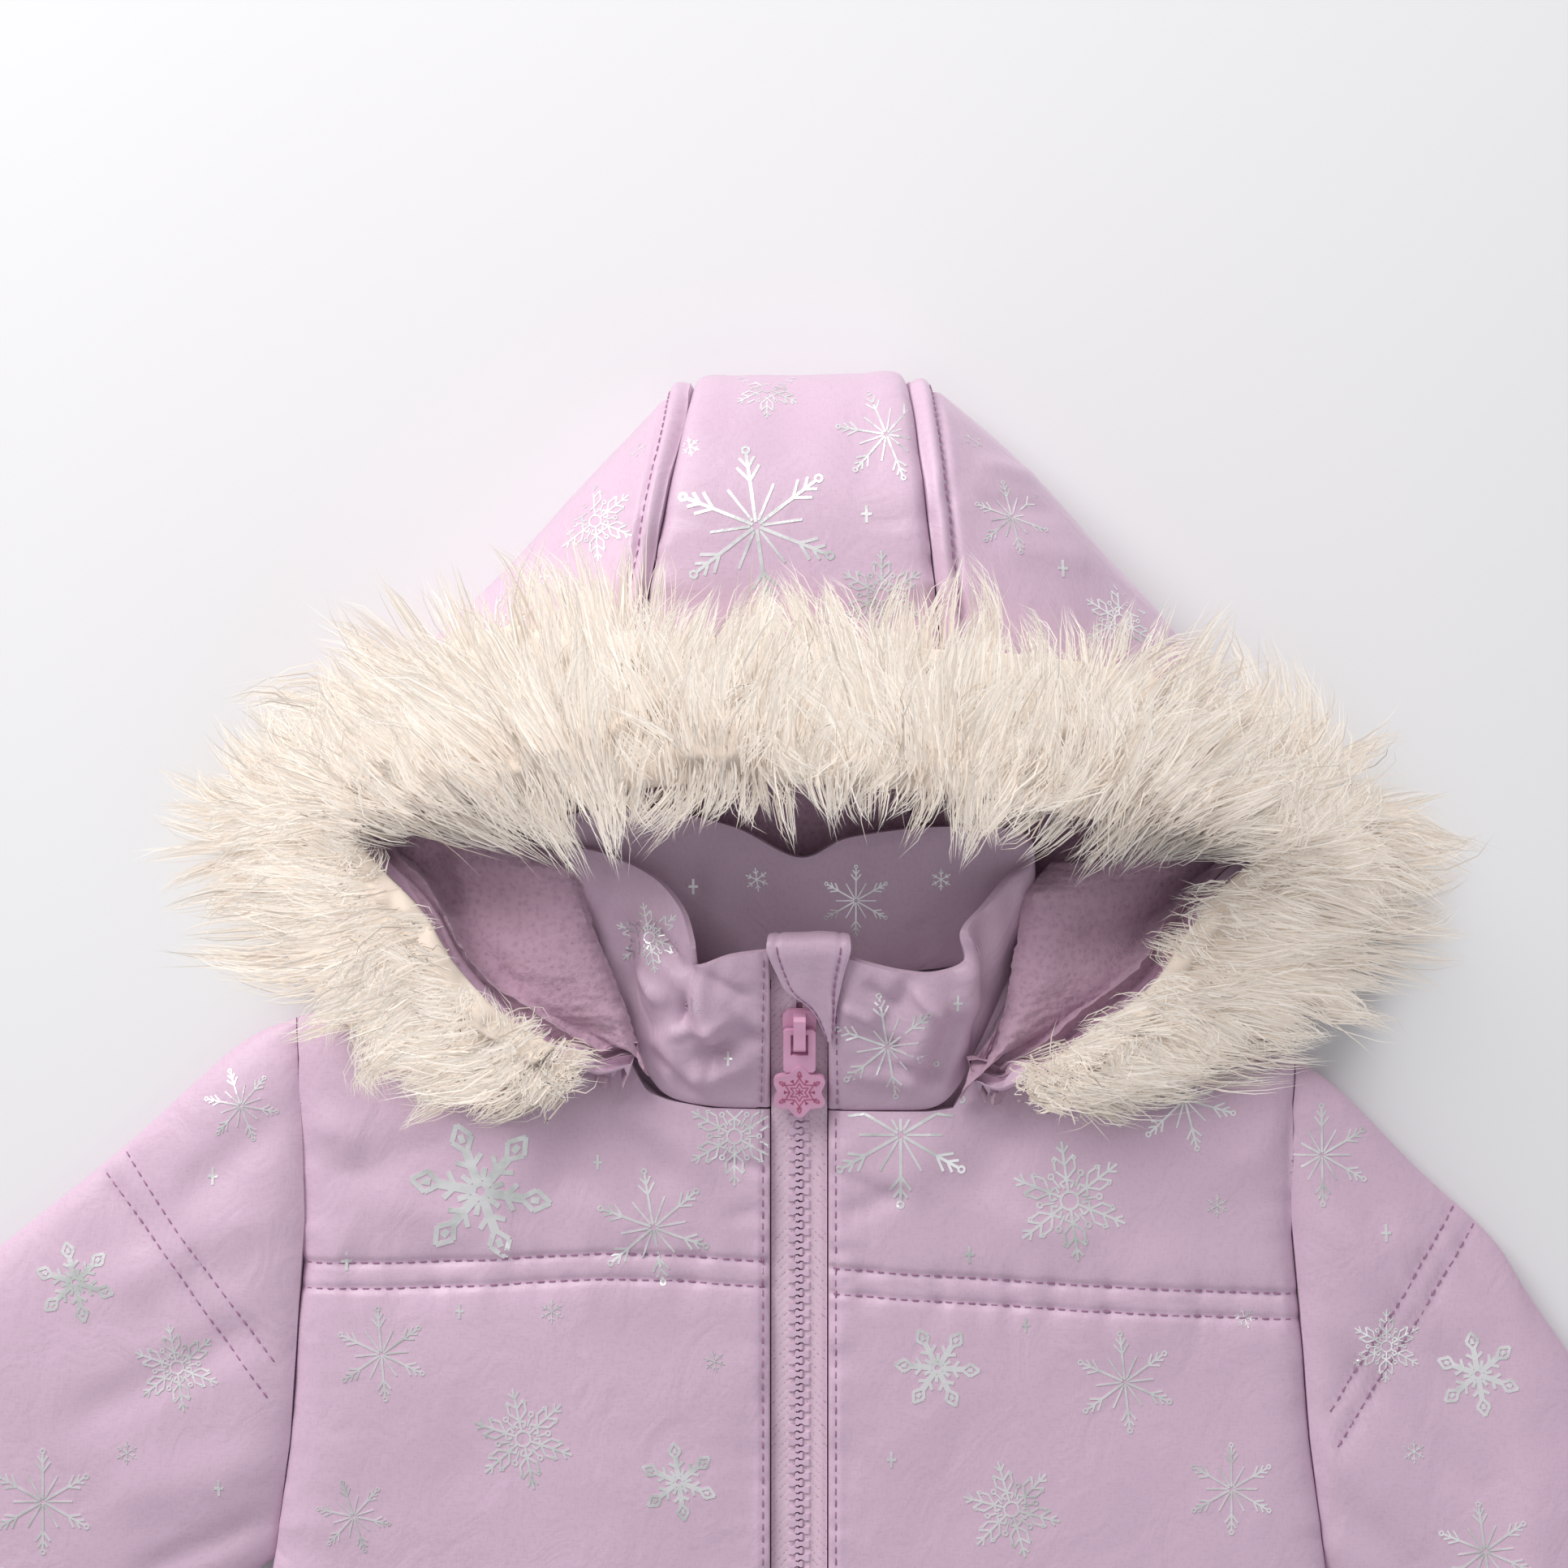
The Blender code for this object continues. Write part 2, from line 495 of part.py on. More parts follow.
def make_hood():
    last = len(HOOD) - 1
    panels = (("left", 0.05, SEAM_LEFT, 22), ("centre", SEAM_LEFT, SEAM_RIGHT, 6),
              ("right", SEAM_RIGHT, last - 0.05, 22))
    for name, start, end, parts in panels:
        where = pieced(start, end, parts)
        hood_wall("hood_" + name, where, 0.0, HOOD_WALL, "shell")
        hood_wall("lining_" + name, where, HOOD_WALL + SEAM_GAP, LINING_WALL, "fleece")


def hood_top(places, clear=1.2, near=5.5):
    """Height that clears the hood at each place: its highest point nearby, and some air."""
    skin = hood_surface(np.linspace(0.0, len(HOOD) - 1.0, 12 * len(HOOD)))
    upper = skin[:, HOOD_STEPS_LOWER + 1:]
    finer = np.concatenate([upper[:, :-1], (upper[:, :-1] + upper[:, 1:]) / 2], axis=1)
    samples = finer.reshape(-1, 3)
    heights = np.zeros(len(places))
    for number, place in enumerate(places):
        close = np.hypot(samples[:, 0] - place[0], samples[:, 1] - place[1]) < near
        heights[number] = samples[close, 2].max() + clear if close.any() else 0.0
    return heights


def fur_strip(name, start, end, parts):
    """Pile of the fur strip: its underside runs from just inside the face edge to the hair tips,
    and its back is a rounded hump over that."""
    where = pieced(start, end, parts)
    read = along(HOOD, where)
    face, tip, pile = read[:, 9:12], read[:, 12:15], read[:, 15:16]
    top = smooth_step((where - 6.0) / 3.0) * smooth_step((22.0 - where) / 3.0)
    reach = (FUR_LIP + (FUR_OVERHANG - FUR_LIP) * top)[:, None]
    outward = tip - face
    flat = outward[:, :2] / np.linalg.norm(outward[:, :2], axis=1, keepdims=True)
    root = face.copy()
    root[:, :2] -= flat * reach
    root[:, 2] += FUR_LIFT
    lean = 1.5 - 0.5 * top[:, None]
    outer, inner = [], []
    for part in FUR_ACROSS:
        under = root + (tip - root) * part
        under[:, 2] = np.maximum(under[:, 2], hood_top(under))
        hump = np.sin(math.pi * (1.0 - (1.0 - part) ** lean)) ** 0.6 if 0 < part < 1 else 0.0
        raised = under.copy()
        raised[:, 2:] += FUR_THIN + pile * hump
        under[:, 2] += FUR_HOLLOW * math.sin(math.pi * part)
        outer.append(raised)
        inner.append(under)
    return slab(name, np.stack(outer, axis=1), np.stack(inner, axis=1), "fur")


def make_fur():
    fur_strip("fur_left", FUR_START, FUR_CORNER_LEFT, 9)
    fur_strip("fur_top", FUR_CORNER_LEFT, FUR_CORNER_RIGHT, 24)
    fur_strip("fur_right", FUR_CORNER_RIGHT, FUR_END, 9)


# ---------------------------------------------------------------- collar and chin guard
def make_collar():
    """A band that stands on the neck seam, squashed into a C that opens at the zip."""
    table = np.asarray(COLLAR)
    where = np.linspace(0.0, len(table) - 1.0, 2 * len(table) - 1)
    read = along(table, where)
    base, rim = read[:, :3], read[:, 3:]
    levels = np.linspace(0.0, 1.0, 6)
    middle = np.stack([base + (rim - base) * level for level in levels], axis=1)
    bow = COLLAR_BOW * np.sin(math.pi * levels)
    round_ring = np.gradient(middle, axis=0)
    up_band = np.gradient(middle, axis=1)
    normal = np.cross(up_band, round_ring)
    normal /= np.linalg.norm(normal, axis=2, keepdims=True)
    middle = middle + normal * bow[None, :, None]
    half = COLLAR_WALL / 2 * np.array([0.8, 1.0, 1.0, 1.0, 1.0, 0.75])[None, :, None]
    return slab("collar", middle + normal * half, middle - normal * half, "shell")


def make_chin_guard():
    table = np.asarray(GUARD)
    path = table[:, :2]
    tangent = np.gradient(path, axis=0)
    tangent /= np.linalg.norm(tangent, axis=1, keepdims=True)
    normal = np.column_stack([tangent[:, 1], -tangent[:, 0]])
    across = np.linspace(0.0, 1.0, 5)
    x = table[:, 2:3] + (table[:, 3:4] - table[:, 2:3]) * across
    outer, inner = [], []
    for shift, grid in ((GUARD_WALL / 2, outer), (-GUARD_WALL / 2, inner)):
        moved = path + normal * shift
        grid.append(np.stack([x, np.repeat(moved[:, :1], 5, axis=1),
                              np.repeat(moved[:, 1:], 5, axis=1)], axis=-1))
    return slab("chin_guard", outer[0], inner[0], "shell")


# ---------------------------------------------------------------- zip
def make_tape(name, side):
    path = np.asarray(TAPE)
    across = np.array([TAPE_GAP, ZIP_HALF - SEAM_GAP - 0.1]) * side
    grids = []
    for shift in (TAPE_THICK / 2, -TAPE_THICK / 2):
        grids.append(np.stack([np.repeat(across[None, :], len(path), axis=0),
                               np.repeat(path[:, :1], 2, axis=1),
                               np.repeat(path[:, 1:] + shift, 2, axis=1)], axis=-1))
    return slab(name, grids[0], grids[1], "tape")


def outline_plate(outline, low, high):
    """A plate with the given outline, in bmesh: the outline's face drawn up by its thickness."""
    plate = bmesh.new()
    face = plate.faces.new([plate.verts.new((x * MM, y * MM, low * MM)) for x, y in outline])
    drawn = bmesh.ops.extrude_face_region(plate, geom=[face])
    corners = [v for v in drawn["geom"] if isinstance(v, bmesh.types.BMVert)]
    bmesh.ops.translate(plate, verts=corners, vec=(0.0, 0.0, (high - low) * MM))
    bmesh.ops.recalc_face_normals(plate, faces=plate.faces)
    return plate


def plate_object(name, outline, low, high, finish):
    plate = outline_plate(outline, low, high)
    mesh = bpy.data.meshes.new(name)
    plate.to_mesh(mesh)
    plate.free()
    return new_object(name, mesh, finish)


def side_plate(name, outline, half, finish):
    """A plate drawn along X from an outline in the YZ plane."""
    thing = plate_object(name, outline, -half, half, finish)
    points = np.array([vertex.co[:] for vertex in thing.data.vertices])
    turned = np.column_stack([points[:, 2], points[:, 0], points[:, 1]])
    thing.data.vertices.foreach_set("co", turned.astype(np.float32).ravel())
    return thing


def combine(target, tool, operation):
    """Join or cut with a guide object that isn't part of the coat."""
    step = target.modifiers.new(tool.name, "BOOLEAN")
    step.operation = operation
    step.solver = "EXACT"
    step.object = tool
    tool.hide_render = True
    tool.display_type = "WIRE"


def box_outline(x0, x1, y0, y1, corner=0.0):
    """A rectangle, with its corners cut by 45 degrees."""
    if corner == 0.0:
        return [(x0, y0), (x1, y0), (x1, y1), (x0, y1)]
    return [(x0 + corner, y0), (x1 - corner, y0), (x1, y0 + corner), (x1, y1 - corner),
            (x1 - corner, y1), (x0 + corner, y1), (x0, y1 - corner), (x0, y0 + corner)]


def star_outline():
    """Six soft points: a circle whose radius swells six times."""
    angles = np.linspace(0.0, 2 * math.pi, 72, endpoint=False) + math.pi / 2
    swell = np.cos(6 * (angles - math.pi / 2))
    radius = STAR_RADIUS * (1.0 - STAR_WAVE + STAR_WAVE * swell)
    return [(r * math.cos(a), STAR_Y + r * math.sin(a)) for a, r in zip(angles, radius)]


def zip_frame(name):
    """An empty on the pull tab's pin, turned with the slope of the zip over the collar."""
    pin = bpy.data.objects.new(name, None)
    bpy.context.collection.objects.link(pin)
    path = np.asarray(TAPE)
    tape_z = np.interp(PIN_Y, path[:, 0], path[:, 1])
    pin.location = (0.0, (PIN_Y - PIN_LIFT * math.sin(ZIP_SLOPE)) * MM,
                    (tape_z + PIN_LIFT * math.cos(ZIP_SLOPE)) * MM)
    pin.rotation_euler = (ZIP_SLOPE, 0.0, 0.0)
    return pin


def make_slider(pin):
    """Top and bottom plates joined by a post between the tapes, and the bridge over the pin."""
    clear = TAPE_THICK / 2 + SEAM_GAP + 0.2
    top_low, top_high = -PIN_LIFT + clear, -PIN_LIFT + clear + 1.7
    shield = [(-3.0, -8.0), (3.0, -8.0), (3.9, -4.0), (PLATE_HALF, 1.0), (PLATE_HALF, 4.2),
              (3.2, 5.8), (-3.2, 5.8), (-PLATE_HALF, 4.2), (-PLATE_HALF, 1.0), (-3.9, -4.0)]
    slider = plate_object("zip_slider", shield, top_low, top_high, "plastic")
    under = plate_object("slider_under", shield, -PIN_LIFT - clear - 1.3, -PIN_LIFT - clear,
                         "plastic")
    post = plate_object("slider_post", box_outline(-0.5, 0.5, 1.0, 4.6), -PIN_LIFT - clear - 0.6,
                        top_high - 0.6, "plastic")
    arch = [(5.2, top_high - 0.5), (5.2, 1.5), (4.2, 2.5), (-4.6, 2.5), (-5.6, 1.5),
            (-5.6, top_high - 0.5), (-4.0, top_high - 0.5), (-4.0, 1.15), (1.4, 1.15),
            (1.4, top_high - 0.5)]
    bridge = side_plate("slider_bridge", arch, BRIDGE_HALF, "plastic")
    for tool in (under, post, bridge):
        tool.parent = pin
    slider.parent = pin
    combine(slider, post, "UNION")
    combine(slider, under, "UNION")
    combine(slider, bridge, "UNION")
    return slider


def make_pull_tab(pin):
    """A ring round the bridge, a short stem and a star, all one flat moulding."""
    star = plate_object("pull_tab", star_outline(), -TAB_HALF, TAB_HALF, "plastic")
    stem = plate_object("tab_stem", box_outline(-RING_HALF, RING_HALF, STEM_END, RING_TOP, 0.7),
                        -PIN_HALF, PIN_HALF, "plastic")
    window = plate_object(
        "tab_window", box_outline(-RING_WINDOW_HALF, RING_WINDOW_HALF,
                                  RING_TOP - 1.5 - RING_WINDOW_LENGTH, RING_TOP - 1.5),
        -3.0, 3.0, "plastic")
    for tool in (stem, window):
        tool.parent = pin
    star.parent = pin
    combine(star, stem, "UNION")
    combine(star, window, "DIFFERENCE")
    return star


def make_zip_box():
    """The box at the bottom of the zip, where the pin goes in."""
    outline = box_outline(-5.0, 5.0, HEM_Y + 1.0, -290.0 - SEAM_GAP, 1.2)
    return plate_object("zip_box", outline, 8.6, 12.6, "plastic")


def build():
    clear_scene()
    make_back()
    make_front("front_left", -1)
    make_front("front_right", 1)
    make_sleeve("sleeve_left", -1)
    make_sleeve("sleeve_right", 1)
    make_hood()
    make_fur()
    make_collar()
    make_chin_guard()
    make_tape("zip_tape_left", -1)
    make_tape("zip_tape_right", 1)
    pin = zip_frame("zip_pin")
    make_slider(pin)
    make_pull_tab(pin)
    make_zip_box()


build()
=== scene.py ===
# %% [markdown]
# # A child's padded winter coat
# The coat lies flat on its back: two padded fronts with a zip, a stand-up collar, sleeves, and a
# hood with a fleece lining and a long-haired fur trim. This lesson dresses the plain solids of the
# coat, piece by piece, with fine cloth, sewing, printed foil and fur. Every piece is a grid of
# points worked out with numpy, because a formula can be read, changed and run again.

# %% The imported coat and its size
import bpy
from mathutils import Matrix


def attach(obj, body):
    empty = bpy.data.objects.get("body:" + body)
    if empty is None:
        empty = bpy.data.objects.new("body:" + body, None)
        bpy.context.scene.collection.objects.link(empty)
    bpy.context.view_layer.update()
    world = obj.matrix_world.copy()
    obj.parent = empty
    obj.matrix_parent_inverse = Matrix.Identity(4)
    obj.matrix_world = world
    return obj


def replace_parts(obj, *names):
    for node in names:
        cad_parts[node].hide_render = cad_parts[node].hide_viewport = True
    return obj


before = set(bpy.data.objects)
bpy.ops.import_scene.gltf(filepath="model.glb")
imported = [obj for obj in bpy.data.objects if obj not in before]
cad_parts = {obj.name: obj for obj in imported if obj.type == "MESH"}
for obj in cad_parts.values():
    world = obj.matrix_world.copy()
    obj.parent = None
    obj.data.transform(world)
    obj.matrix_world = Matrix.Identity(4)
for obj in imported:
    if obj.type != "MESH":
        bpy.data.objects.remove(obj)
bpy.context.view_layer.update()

import math

import bmesh
import bpy
import numpy as np

MM = 0.001                # the tables are in millimetres, the meshes in metres

# %% [markdown]
# ## Camera, light and table
# The coat was pictured from straight above with a long lens. A camera that looks down its own -Z
# axis needs no turning. The floor is a wide plane, the light is one big soft panel at the upper
# left with a weak one opposite, and the sky fills the shadows.

# %% Camera
CAMERA_PLACE = (-0.00432, 0.2110, 1.0618)


def add_object(name, data):
    """A new object in the scene."""
    made = bpy.data.objects.new(name, data)
    bpy.context.collection.objects.link(made)
    return made


camera = add_object("camera", bpy.data.cameras.new("camera"))
camera.data.lens = 85
camera.data.sensor_width = 36
camera.data.clip_start = 0.01
camera.location = CAMERA_PLACE
bpy.context.scene.camera = camera

# %% Soft lights and a pale sky
def soft_light(name, place, aim, size, power, colour):
    """A square panel at place that faces the point aim."""
    lamp = bpy.data.lights.new(name, "AREA")
    lamp.size, lamp.energy, lamp.color = size, power, colour
    thing = add_object(name, lamp)
    thing.location = aim
    target = thing.location.copy()
    thing.location = place
    thing.rotation_euler = (target - thing.location).to_track_quat("-Z", "Y").to_euler()


soft_light("window", (-0.85, 1.45, 0.95), (0.0, 0.2, 0.0), 1.3, 36.0, (1.0, 0.985, 0.97))
soft_light("reflector", (1.2, -0.7, 1.3), (0.0, 0.1, 0.0), 1.4, 3.0, (0.97, 0.98, 1.0))

sky = bpy.context.scene.world or bpy.data.worlds.new("sky")
bpy.context.scene.world = sky
sky.use_nodes = True
sky.node_tree.nodes["Background"].inputs["Color"].default_value = (0.96, 0.96, 1.0, 1.0)
sky.node_tree.nodes["Background"].inputs["Strength"].default_value = 0.46
bpy.context.scene.view_settings.view_transform = "Standard"


# %% [markdown]
# ## Helpers for shapes
# A table of a few measured rows becomes a smooth curve by Catmull-Rom interpolation. Cloth is
# never even, so soft noise on a lattice gives it lumps, and a fold is a ridge or valley along a
# line. Each helper works on whole arrays.

# %% Curves, steps, lumps and folds
def along(table, where):
    """Catmull-Rom curve through the rows of a table: each stretch is a cubic whose ends have the
    slope between the neighbouring rows. Read at the row numbers in where."""
    table = np.asarray(table, float)
    last = len(table) - 1
    where = np.clip(np.asarray(where, float), 0, last)
    row = np.minimum(where.astype(int), last - 1)
    t = (where - row)[..., None]
    before, here = table[np.maximum(row - 1, 0)], table[row]
    there, after = table[row + 1], table[np.minimum(row + 2, last)]
    return 0.5 * (2 * here + (there - before) * t
                  + (2 * before - 5 * here + 4 * there - after) * t ** 2
                  + (3 * here - 3 * there + after - before) * t ** 3)


def table_read(table, at, column=1):
    """Straight lines between the rows of a table, whose first column says where they are."""
    table = np.asarray(table)
    return np.interp(at, table[:, 0], table[:, column])


def smooth_step(value):
    """0 below 0, 1 above 1, and 3t^2 - 2t^3 between."""
    value = np.clip(value, 0.0, 1.0)
    return value * value * (3.0 - 2.0 * value)


def bell(distance, width):
    """exp(-(distance / width)^2): 1 in the middle, next to nothing at twice the width."""
    return np.exp(-(distance / width) ** 2)


def unit(vectors):
    """Vectors scaled to a length of one."""
    return vectors / np.maximum(np.linalg.norm(vectors, axis=-1, keepdims=True), 1e-9)


def distance_along(points):
    """Distance from the first point along a line of points, or along each column of a grid."""
    step = np.linalg.norm(np.diff(points, axis=0), axis=-1)
    return np.concatenate([np.zeros_like(step[:1]), np.cumsum(step, axis=0)])


def lumps(x, y, size, seed):
    """Soft noise between about -1 and 1: random heights on a lattice of the given size, blended
    by smooth steps, and a second layer half as big and half as high."""
    total = np.zeros(np.broadcast(x, y).shape)
    for layer in range(2):
        heights = np.random.default_rng(seed + layer).uniform(-1.0, 1.0, (128, 128))
        across, up = x / size * 2 ** layer + 57.3, y / size * 2 ** layer + 31.7
        column, row = np.floor(across).astype(int), np.floor(up).astype(int)
        s, t = smooth_step(across - column), smooth_step(up - row)
        corner = [heights[(row + j) % 128, (column + i) % 128] for j in (0, 1) for i in (0, 1)]
        low, high = corner[0] * (1 - s) + corner[1] * s, corner[2] * (1 - s) + corner[3] * s
        total = total + (low * (1 - t) + high * t) / 2 ** layer
    return total


def fold_heights(x, y, table):
    """Sum of folds: each is a bell-shaped ridge (or a valley, where its height is negative) along
    a line from one point to another, and it fades towards both ends."""
    total = np.zeros(np.broadcast(x, y).shape)
    for x0, y0, x1, y1, width, height in table:
        length = math.hypot(x1 - x0, y1 - y0)
        t = ((x - x0) * (x1 - x0) + (y - y0) * (y1 - y0)) / length ** 2
        off = ((x - x0) * (y1 - y0) - (y - y0) * (x1 - x0)) / length
        fade = smooth_step((t + 0.15) / 0.4) * smooth_step((1.15 - t) / 0.4)
        total = total + height * fade * bell(off, width)
    return total


# %% [markdown]
# ## From grids to meshes
# A padded panel is a closed wall: a fine outer skin, a coarser inner one, and a rim between them.
# The inner skin takes every few points of the fine one, and the rim's faces have many corners on
# the fine side and two on the coarse side, so the mesh stays closed with a quarter of the faces.

# %% Mesh writing
COARSE = 4                # steps of the fine skin for one step of the coarse one


def grid_quads(rows, columns, start=0, wrap=False):
    """Corner numbers of the squares between neighbouring points of a grid."""
    number = start + np.arange(rows * columns).reshape(rows, columns)
    if wrap:
        number = np.hstack([number, number[:, :1]])
    return np.stack([number[:-1, :-1], number[1:, :-1], number[1:, 1:], number[:-1, 1:]],
                    axis=-1).reshape(-1, 4)


def ring_faces(sides, rings):
    """Squares between rings of points that follow each other."""
    around = np.arange(sides)
    after = (around + 1) % sides
    squares = np.stack([around, after, sides + after, sides + around], axis=-1)
    return np.concatenate([squares + sides * k for k in range(rings - 1)])


def copies(faces, count, each):
    """The faces of one small shape, repeated for count shapes of so many points each."""
    faces = np.asarray(faces)
    start = (np.arange(count) * each)[:, None, None]
    return (faces[None] + start).reshape(-1, faces.shape[1])


TRIANGLES = {}


def write_mesh(name, points, groups, finish, layout=None, recalculate=True, sharp=40.0,
               body="root", values=None):
    """Points and groups of equal-sided faces become one piece in metres, which rides on a body.
    layout is each point's place on the flat cloth, in metres, and goes into a UV map."""
    mesh = bpy.data.meshes.new(name)
    points = np.asarray(points, float)
    mesh.vertices.add(len(points))
    mesh.vertices.foreach_set("co", (points * MM).astype(np.float32).ravel())
    groups = [np.asarray(group, np.int32) for group in groups if len(group)]
    sides = np.concatenate([np.full(len(group), group.shape[1], np.int32) for group in groups])
    corners = np.concatenate([group.ravel() for group in groups])
    mesh.loops.add(len(corners))
    mesh.loops.foreach_set("vertex_index", corners)
    mesh.polygons.add(len(sides))
    mesh.polygons.foreach_set("loop_start",
                              np.concatenate([[0], np.cumsum(sides)[:-1]]).astype(np.int32))
    mesh.update(calc_edges=True)
    if layout is not None:
        uv = mesh.uv_layers.new(name="cloth")
        uv.data.foreach_set("uv", np.asarray(layout, np.float32)[corners].ravel())
    for key, value in (values or {}).items():
        attribute = mesh.attributes.new(key, "FLOAT", "POINT")
        attribute.data.foreach_set("value", np.asarray(value, np.float32))
    if recalculate:
        shaped = bmesh.new()
        shaped.from_mesh(mesh)
        bmesh.ops.recalc_face_normals(shaped, faces=shaped.faces)
        shaped.to_mesh(mesh)
        shaped.free()
    mesh.shade_smooth()
    if sharp:
        mesh.set_sharp_from_angle(angle=math.radians(sharp))
    mesh.materials.append(finish)
    piece = add_object(name, mesh)
    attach(piece, body)
    mesh.calc_loop_triangles()
    TRIANGLES[name] = len(mesh.loop_triangles)
    return piece


def rim_faces(fine, coarse):
    """Faces between a fine row of points and the coarse row that lies beside it."""
    step = (len(fine) - 1) // (len(coarse) - 1)
    start = np.arange(len(coarse) - 1)
    outer = fine[start[:, None] * step + np.arange(step + 1)]
    return np.hstack([outer, coarse[start + 1][:, None], coarse[start][:, None]])


def panel(name, outer, inner, finish, layout, sharp=50.0):
    """A closed wall between a fine grid and a coarse one that follows it."""
    (rows, columns), (few_rows, few_columns) = outer.shape[:2], inner.shape[:2]
    fine = np.arange(rows * columns).reshape(rows, columns)
    coarse = rows * columns + np.arange(few_rows * few_columns).reshape(few_rows, few_columns)
    groups = [grid_quads(rows, columns),
              grid_quads(few_rows, few_columns, start=rows * columns)[:, ::-1],
              rim_faces(fine[0], coarse[0]), rim_faces(fine[:, -1], coarse[:, -1]),
              rim_faces(fine[-1][::-1], coarse[-1][::-1]),
              rim_faces(fine[::-1, 0], coarse[::-1, 0])]
    step_r, step_c = (rows - 1) // (few_rows - 1), (columns - 1) // (few_columns - 1)
    flat = np.concatenate([layout.reshape(-1, 2), layout[::step_r, ::step_c].reshape(-1, 2)])
    points = np.concatenate([outer.reshape(-1, 3), inner.reshape(-1, 3)])
    return write_mesh(name, points, groups, finish, flat, sharp=sharp)


def cloth_layout(grid):
    """Place on the flat cloth, in metres: distances along the rows, counted from the middle
    column, and mean distances along the columns, counted from the first row."""
    u = distance_along(grid.swapaxes(0, 1)).T
    u = u - u[:, grid.shape[1] // 2][:, None]
    v = np.repeat(distance_along(grid).mean(axis=1)[:, None], grid.shape[1], axis=1)
    return np.stack([u, v], axis=-1) * MM


def outward(grid):
    """Unit normals of a grid: the cross product of its two directions."""
    return unit(np.cross(np.gradient(grid, axis=0), np.gradient(grid, axis=1)))


def lying_wall(name, outer, under_height):
    """A satin wall whose coarse underside is level and whose layout is its plan."""
    under = outer[::COARSE, ::COARSE].copy()
    under[..., 2] = under_height
    return panel(name, outer, under, SATIN, outer[..., :2] * MM)


def fine_steps(stops, sizes):
    """Numbers from the first stop to the last, each stretch in equal steps of about its size."""
    parts = [np.linspace(a, b, max(1, round((b - a) / size)) + 1)[:-1]
             for a, b, size in zip(stops, stops[1:], sizes)]
    return np.concatenate(parts + [[stops[-1]]])


def trim_steps(numbers, step):
    """Drops a few numbers near the start, so that the count of steps divides by step."""
    extra = (len(numbers) - 1) % step
    return np.delete(numbers, np.arange(2, 2 + 2 * extra, 2)) if extra else numbers


# %% [markdown]
# ## Finishes
# Satin polyester is smooth with a silky sheen, and close up its threads show as a fine grain. The
# grain comes from two stretched noises, one for each thread direction, on the cloth's own UV map,
# so that it follows the cloth. Fleece is the opposite: no gloss, short curls and a soft sheen.
# Foil print is metal that takes the grain of the cloth below it, and its colour carries painted
# reflection in grey-green and white patches. A hair is painted darker at its root, as shade deep
# in the pile.

# %% Node helpers
def new_finish(name, colour, roughness, **sockets):
    """A Principled material; sockets are named with underscores instead of blanks."""
    made = bpy.data.materials.new(name)
    made.use_nodes = True
    shader = made.node_tree.nodes["Principled BSDF"]
    shader.inputs["Base Color"].default_value = (*colour, 1.0)
    shader.inputs["Roughness"].default_value = roughness
    for key, value in sockets.items():
        shader.inputs[key.replace("_", " ")].default_value = value
    return made, shader


def add_node(made, kind, inputs=None, **settings):
    """A node of a kind; inputs gives values or sockets to link, by the inputs' names."""
    node = made.node_tree.nodes.new(kind)
    for key, value in settings.items():
        setattr(node, key, value)
    for key, value in (inputs or {}).items():
        if isinstance(value, bpy.types.NodeSocket):
            made.node_tree.links.new(value, node.inputs[key])
        else:
            node.inputs[key].default_value = value
    return node


def cloth_place(made, scale):
    """The cloth's UV map, in metres, stretched by scale along and across."""
    uv = add_node(made, "ShaderNodeUVMap", uv_map="cloth")
    turned = add_node(made, "ShaderNodeMapping", {"Vector": uv.outputs["UV"]})
    turned.inputs["Scale"].default_value = scale
    return turned.outputs["Vector"]


def noise(made, vector, scale, detail=2.0, roughness=0.5):
    return add_node(made, "ShaderNodeTexNoise", {
        "Vector": vector, "Scale": scale, "Detail": detail, "Roughness": roughness}).outputs["Fac"]


def mixed(made, factor, first, second, low=0.3, high=0.7):
    """Colours from first to second as factor goes from low to high."""
    ramp = add_node(made, "ShaderNodeValToRGB", {"Fac": factor})
    ramp.color_ramp.elements[0].position, ramp.color_ramp.elements[1].position = low, high
    ramp.color_ramp.elements[0].color = (*first, 1.0)
    ramp.color_ramp.elements[1].color = (*second, 1.0)
    return ramp.outputs["Color"]


def total(made, first, second):
    return add_node(made, "ShaderNodeMath", {0: first, 1: second}, operation="ADD").outputs[0]


def blended(made, factor, first, second, blend_type="MIX"):
    """Two colours mixed by a factor, or multiplied."""
    return add_node(made, "ShaderNodeMix", {"Factor": factor, "A": first, "B": second},
                    data_type="RGBA", blend_type=blend_type).outputs["Result"]


def object_place(made):
    """Places in the piece's own frame, in metres."""
    return add_node(made, "ShaderNodeTexCoord").outputs["Object"]


def paint(made, shader, colour):
    made.node_tree.links.new(colour, shader.inputs["Base Color"])


def bump(made, shader, height, distance, strength, below=None):
    """Relief from a height; below is the normal of a coarser relief that it lies on."""
    inputs = {"Height": height, "Distance": distance, "Strength": strength}
    if below is not None:
        inputs["Normal"] = below
    normal = add_node(made, "ShaderNodeBump", inputs).outputs["Normal"]
    made.node_tree.links.new(normal, shader.inputs["Normal"])
    return normal


# %% Satin, fleece, tape, foil, thread, plastic and hair
def thread_grain(made, thread):
    """Threads in both directions: noise about three times longer than wide, twice."""
    across = noise(made, cloth_place(made, (0.3 / thread, 1.0 / thread, 1.0)), 1.0)
    lengthwise = noise(made, cloth_place(made, (1.0 / thread, 0.3 / thread, 1.0)), 1.0)
    return total(made, across, lengthwise)


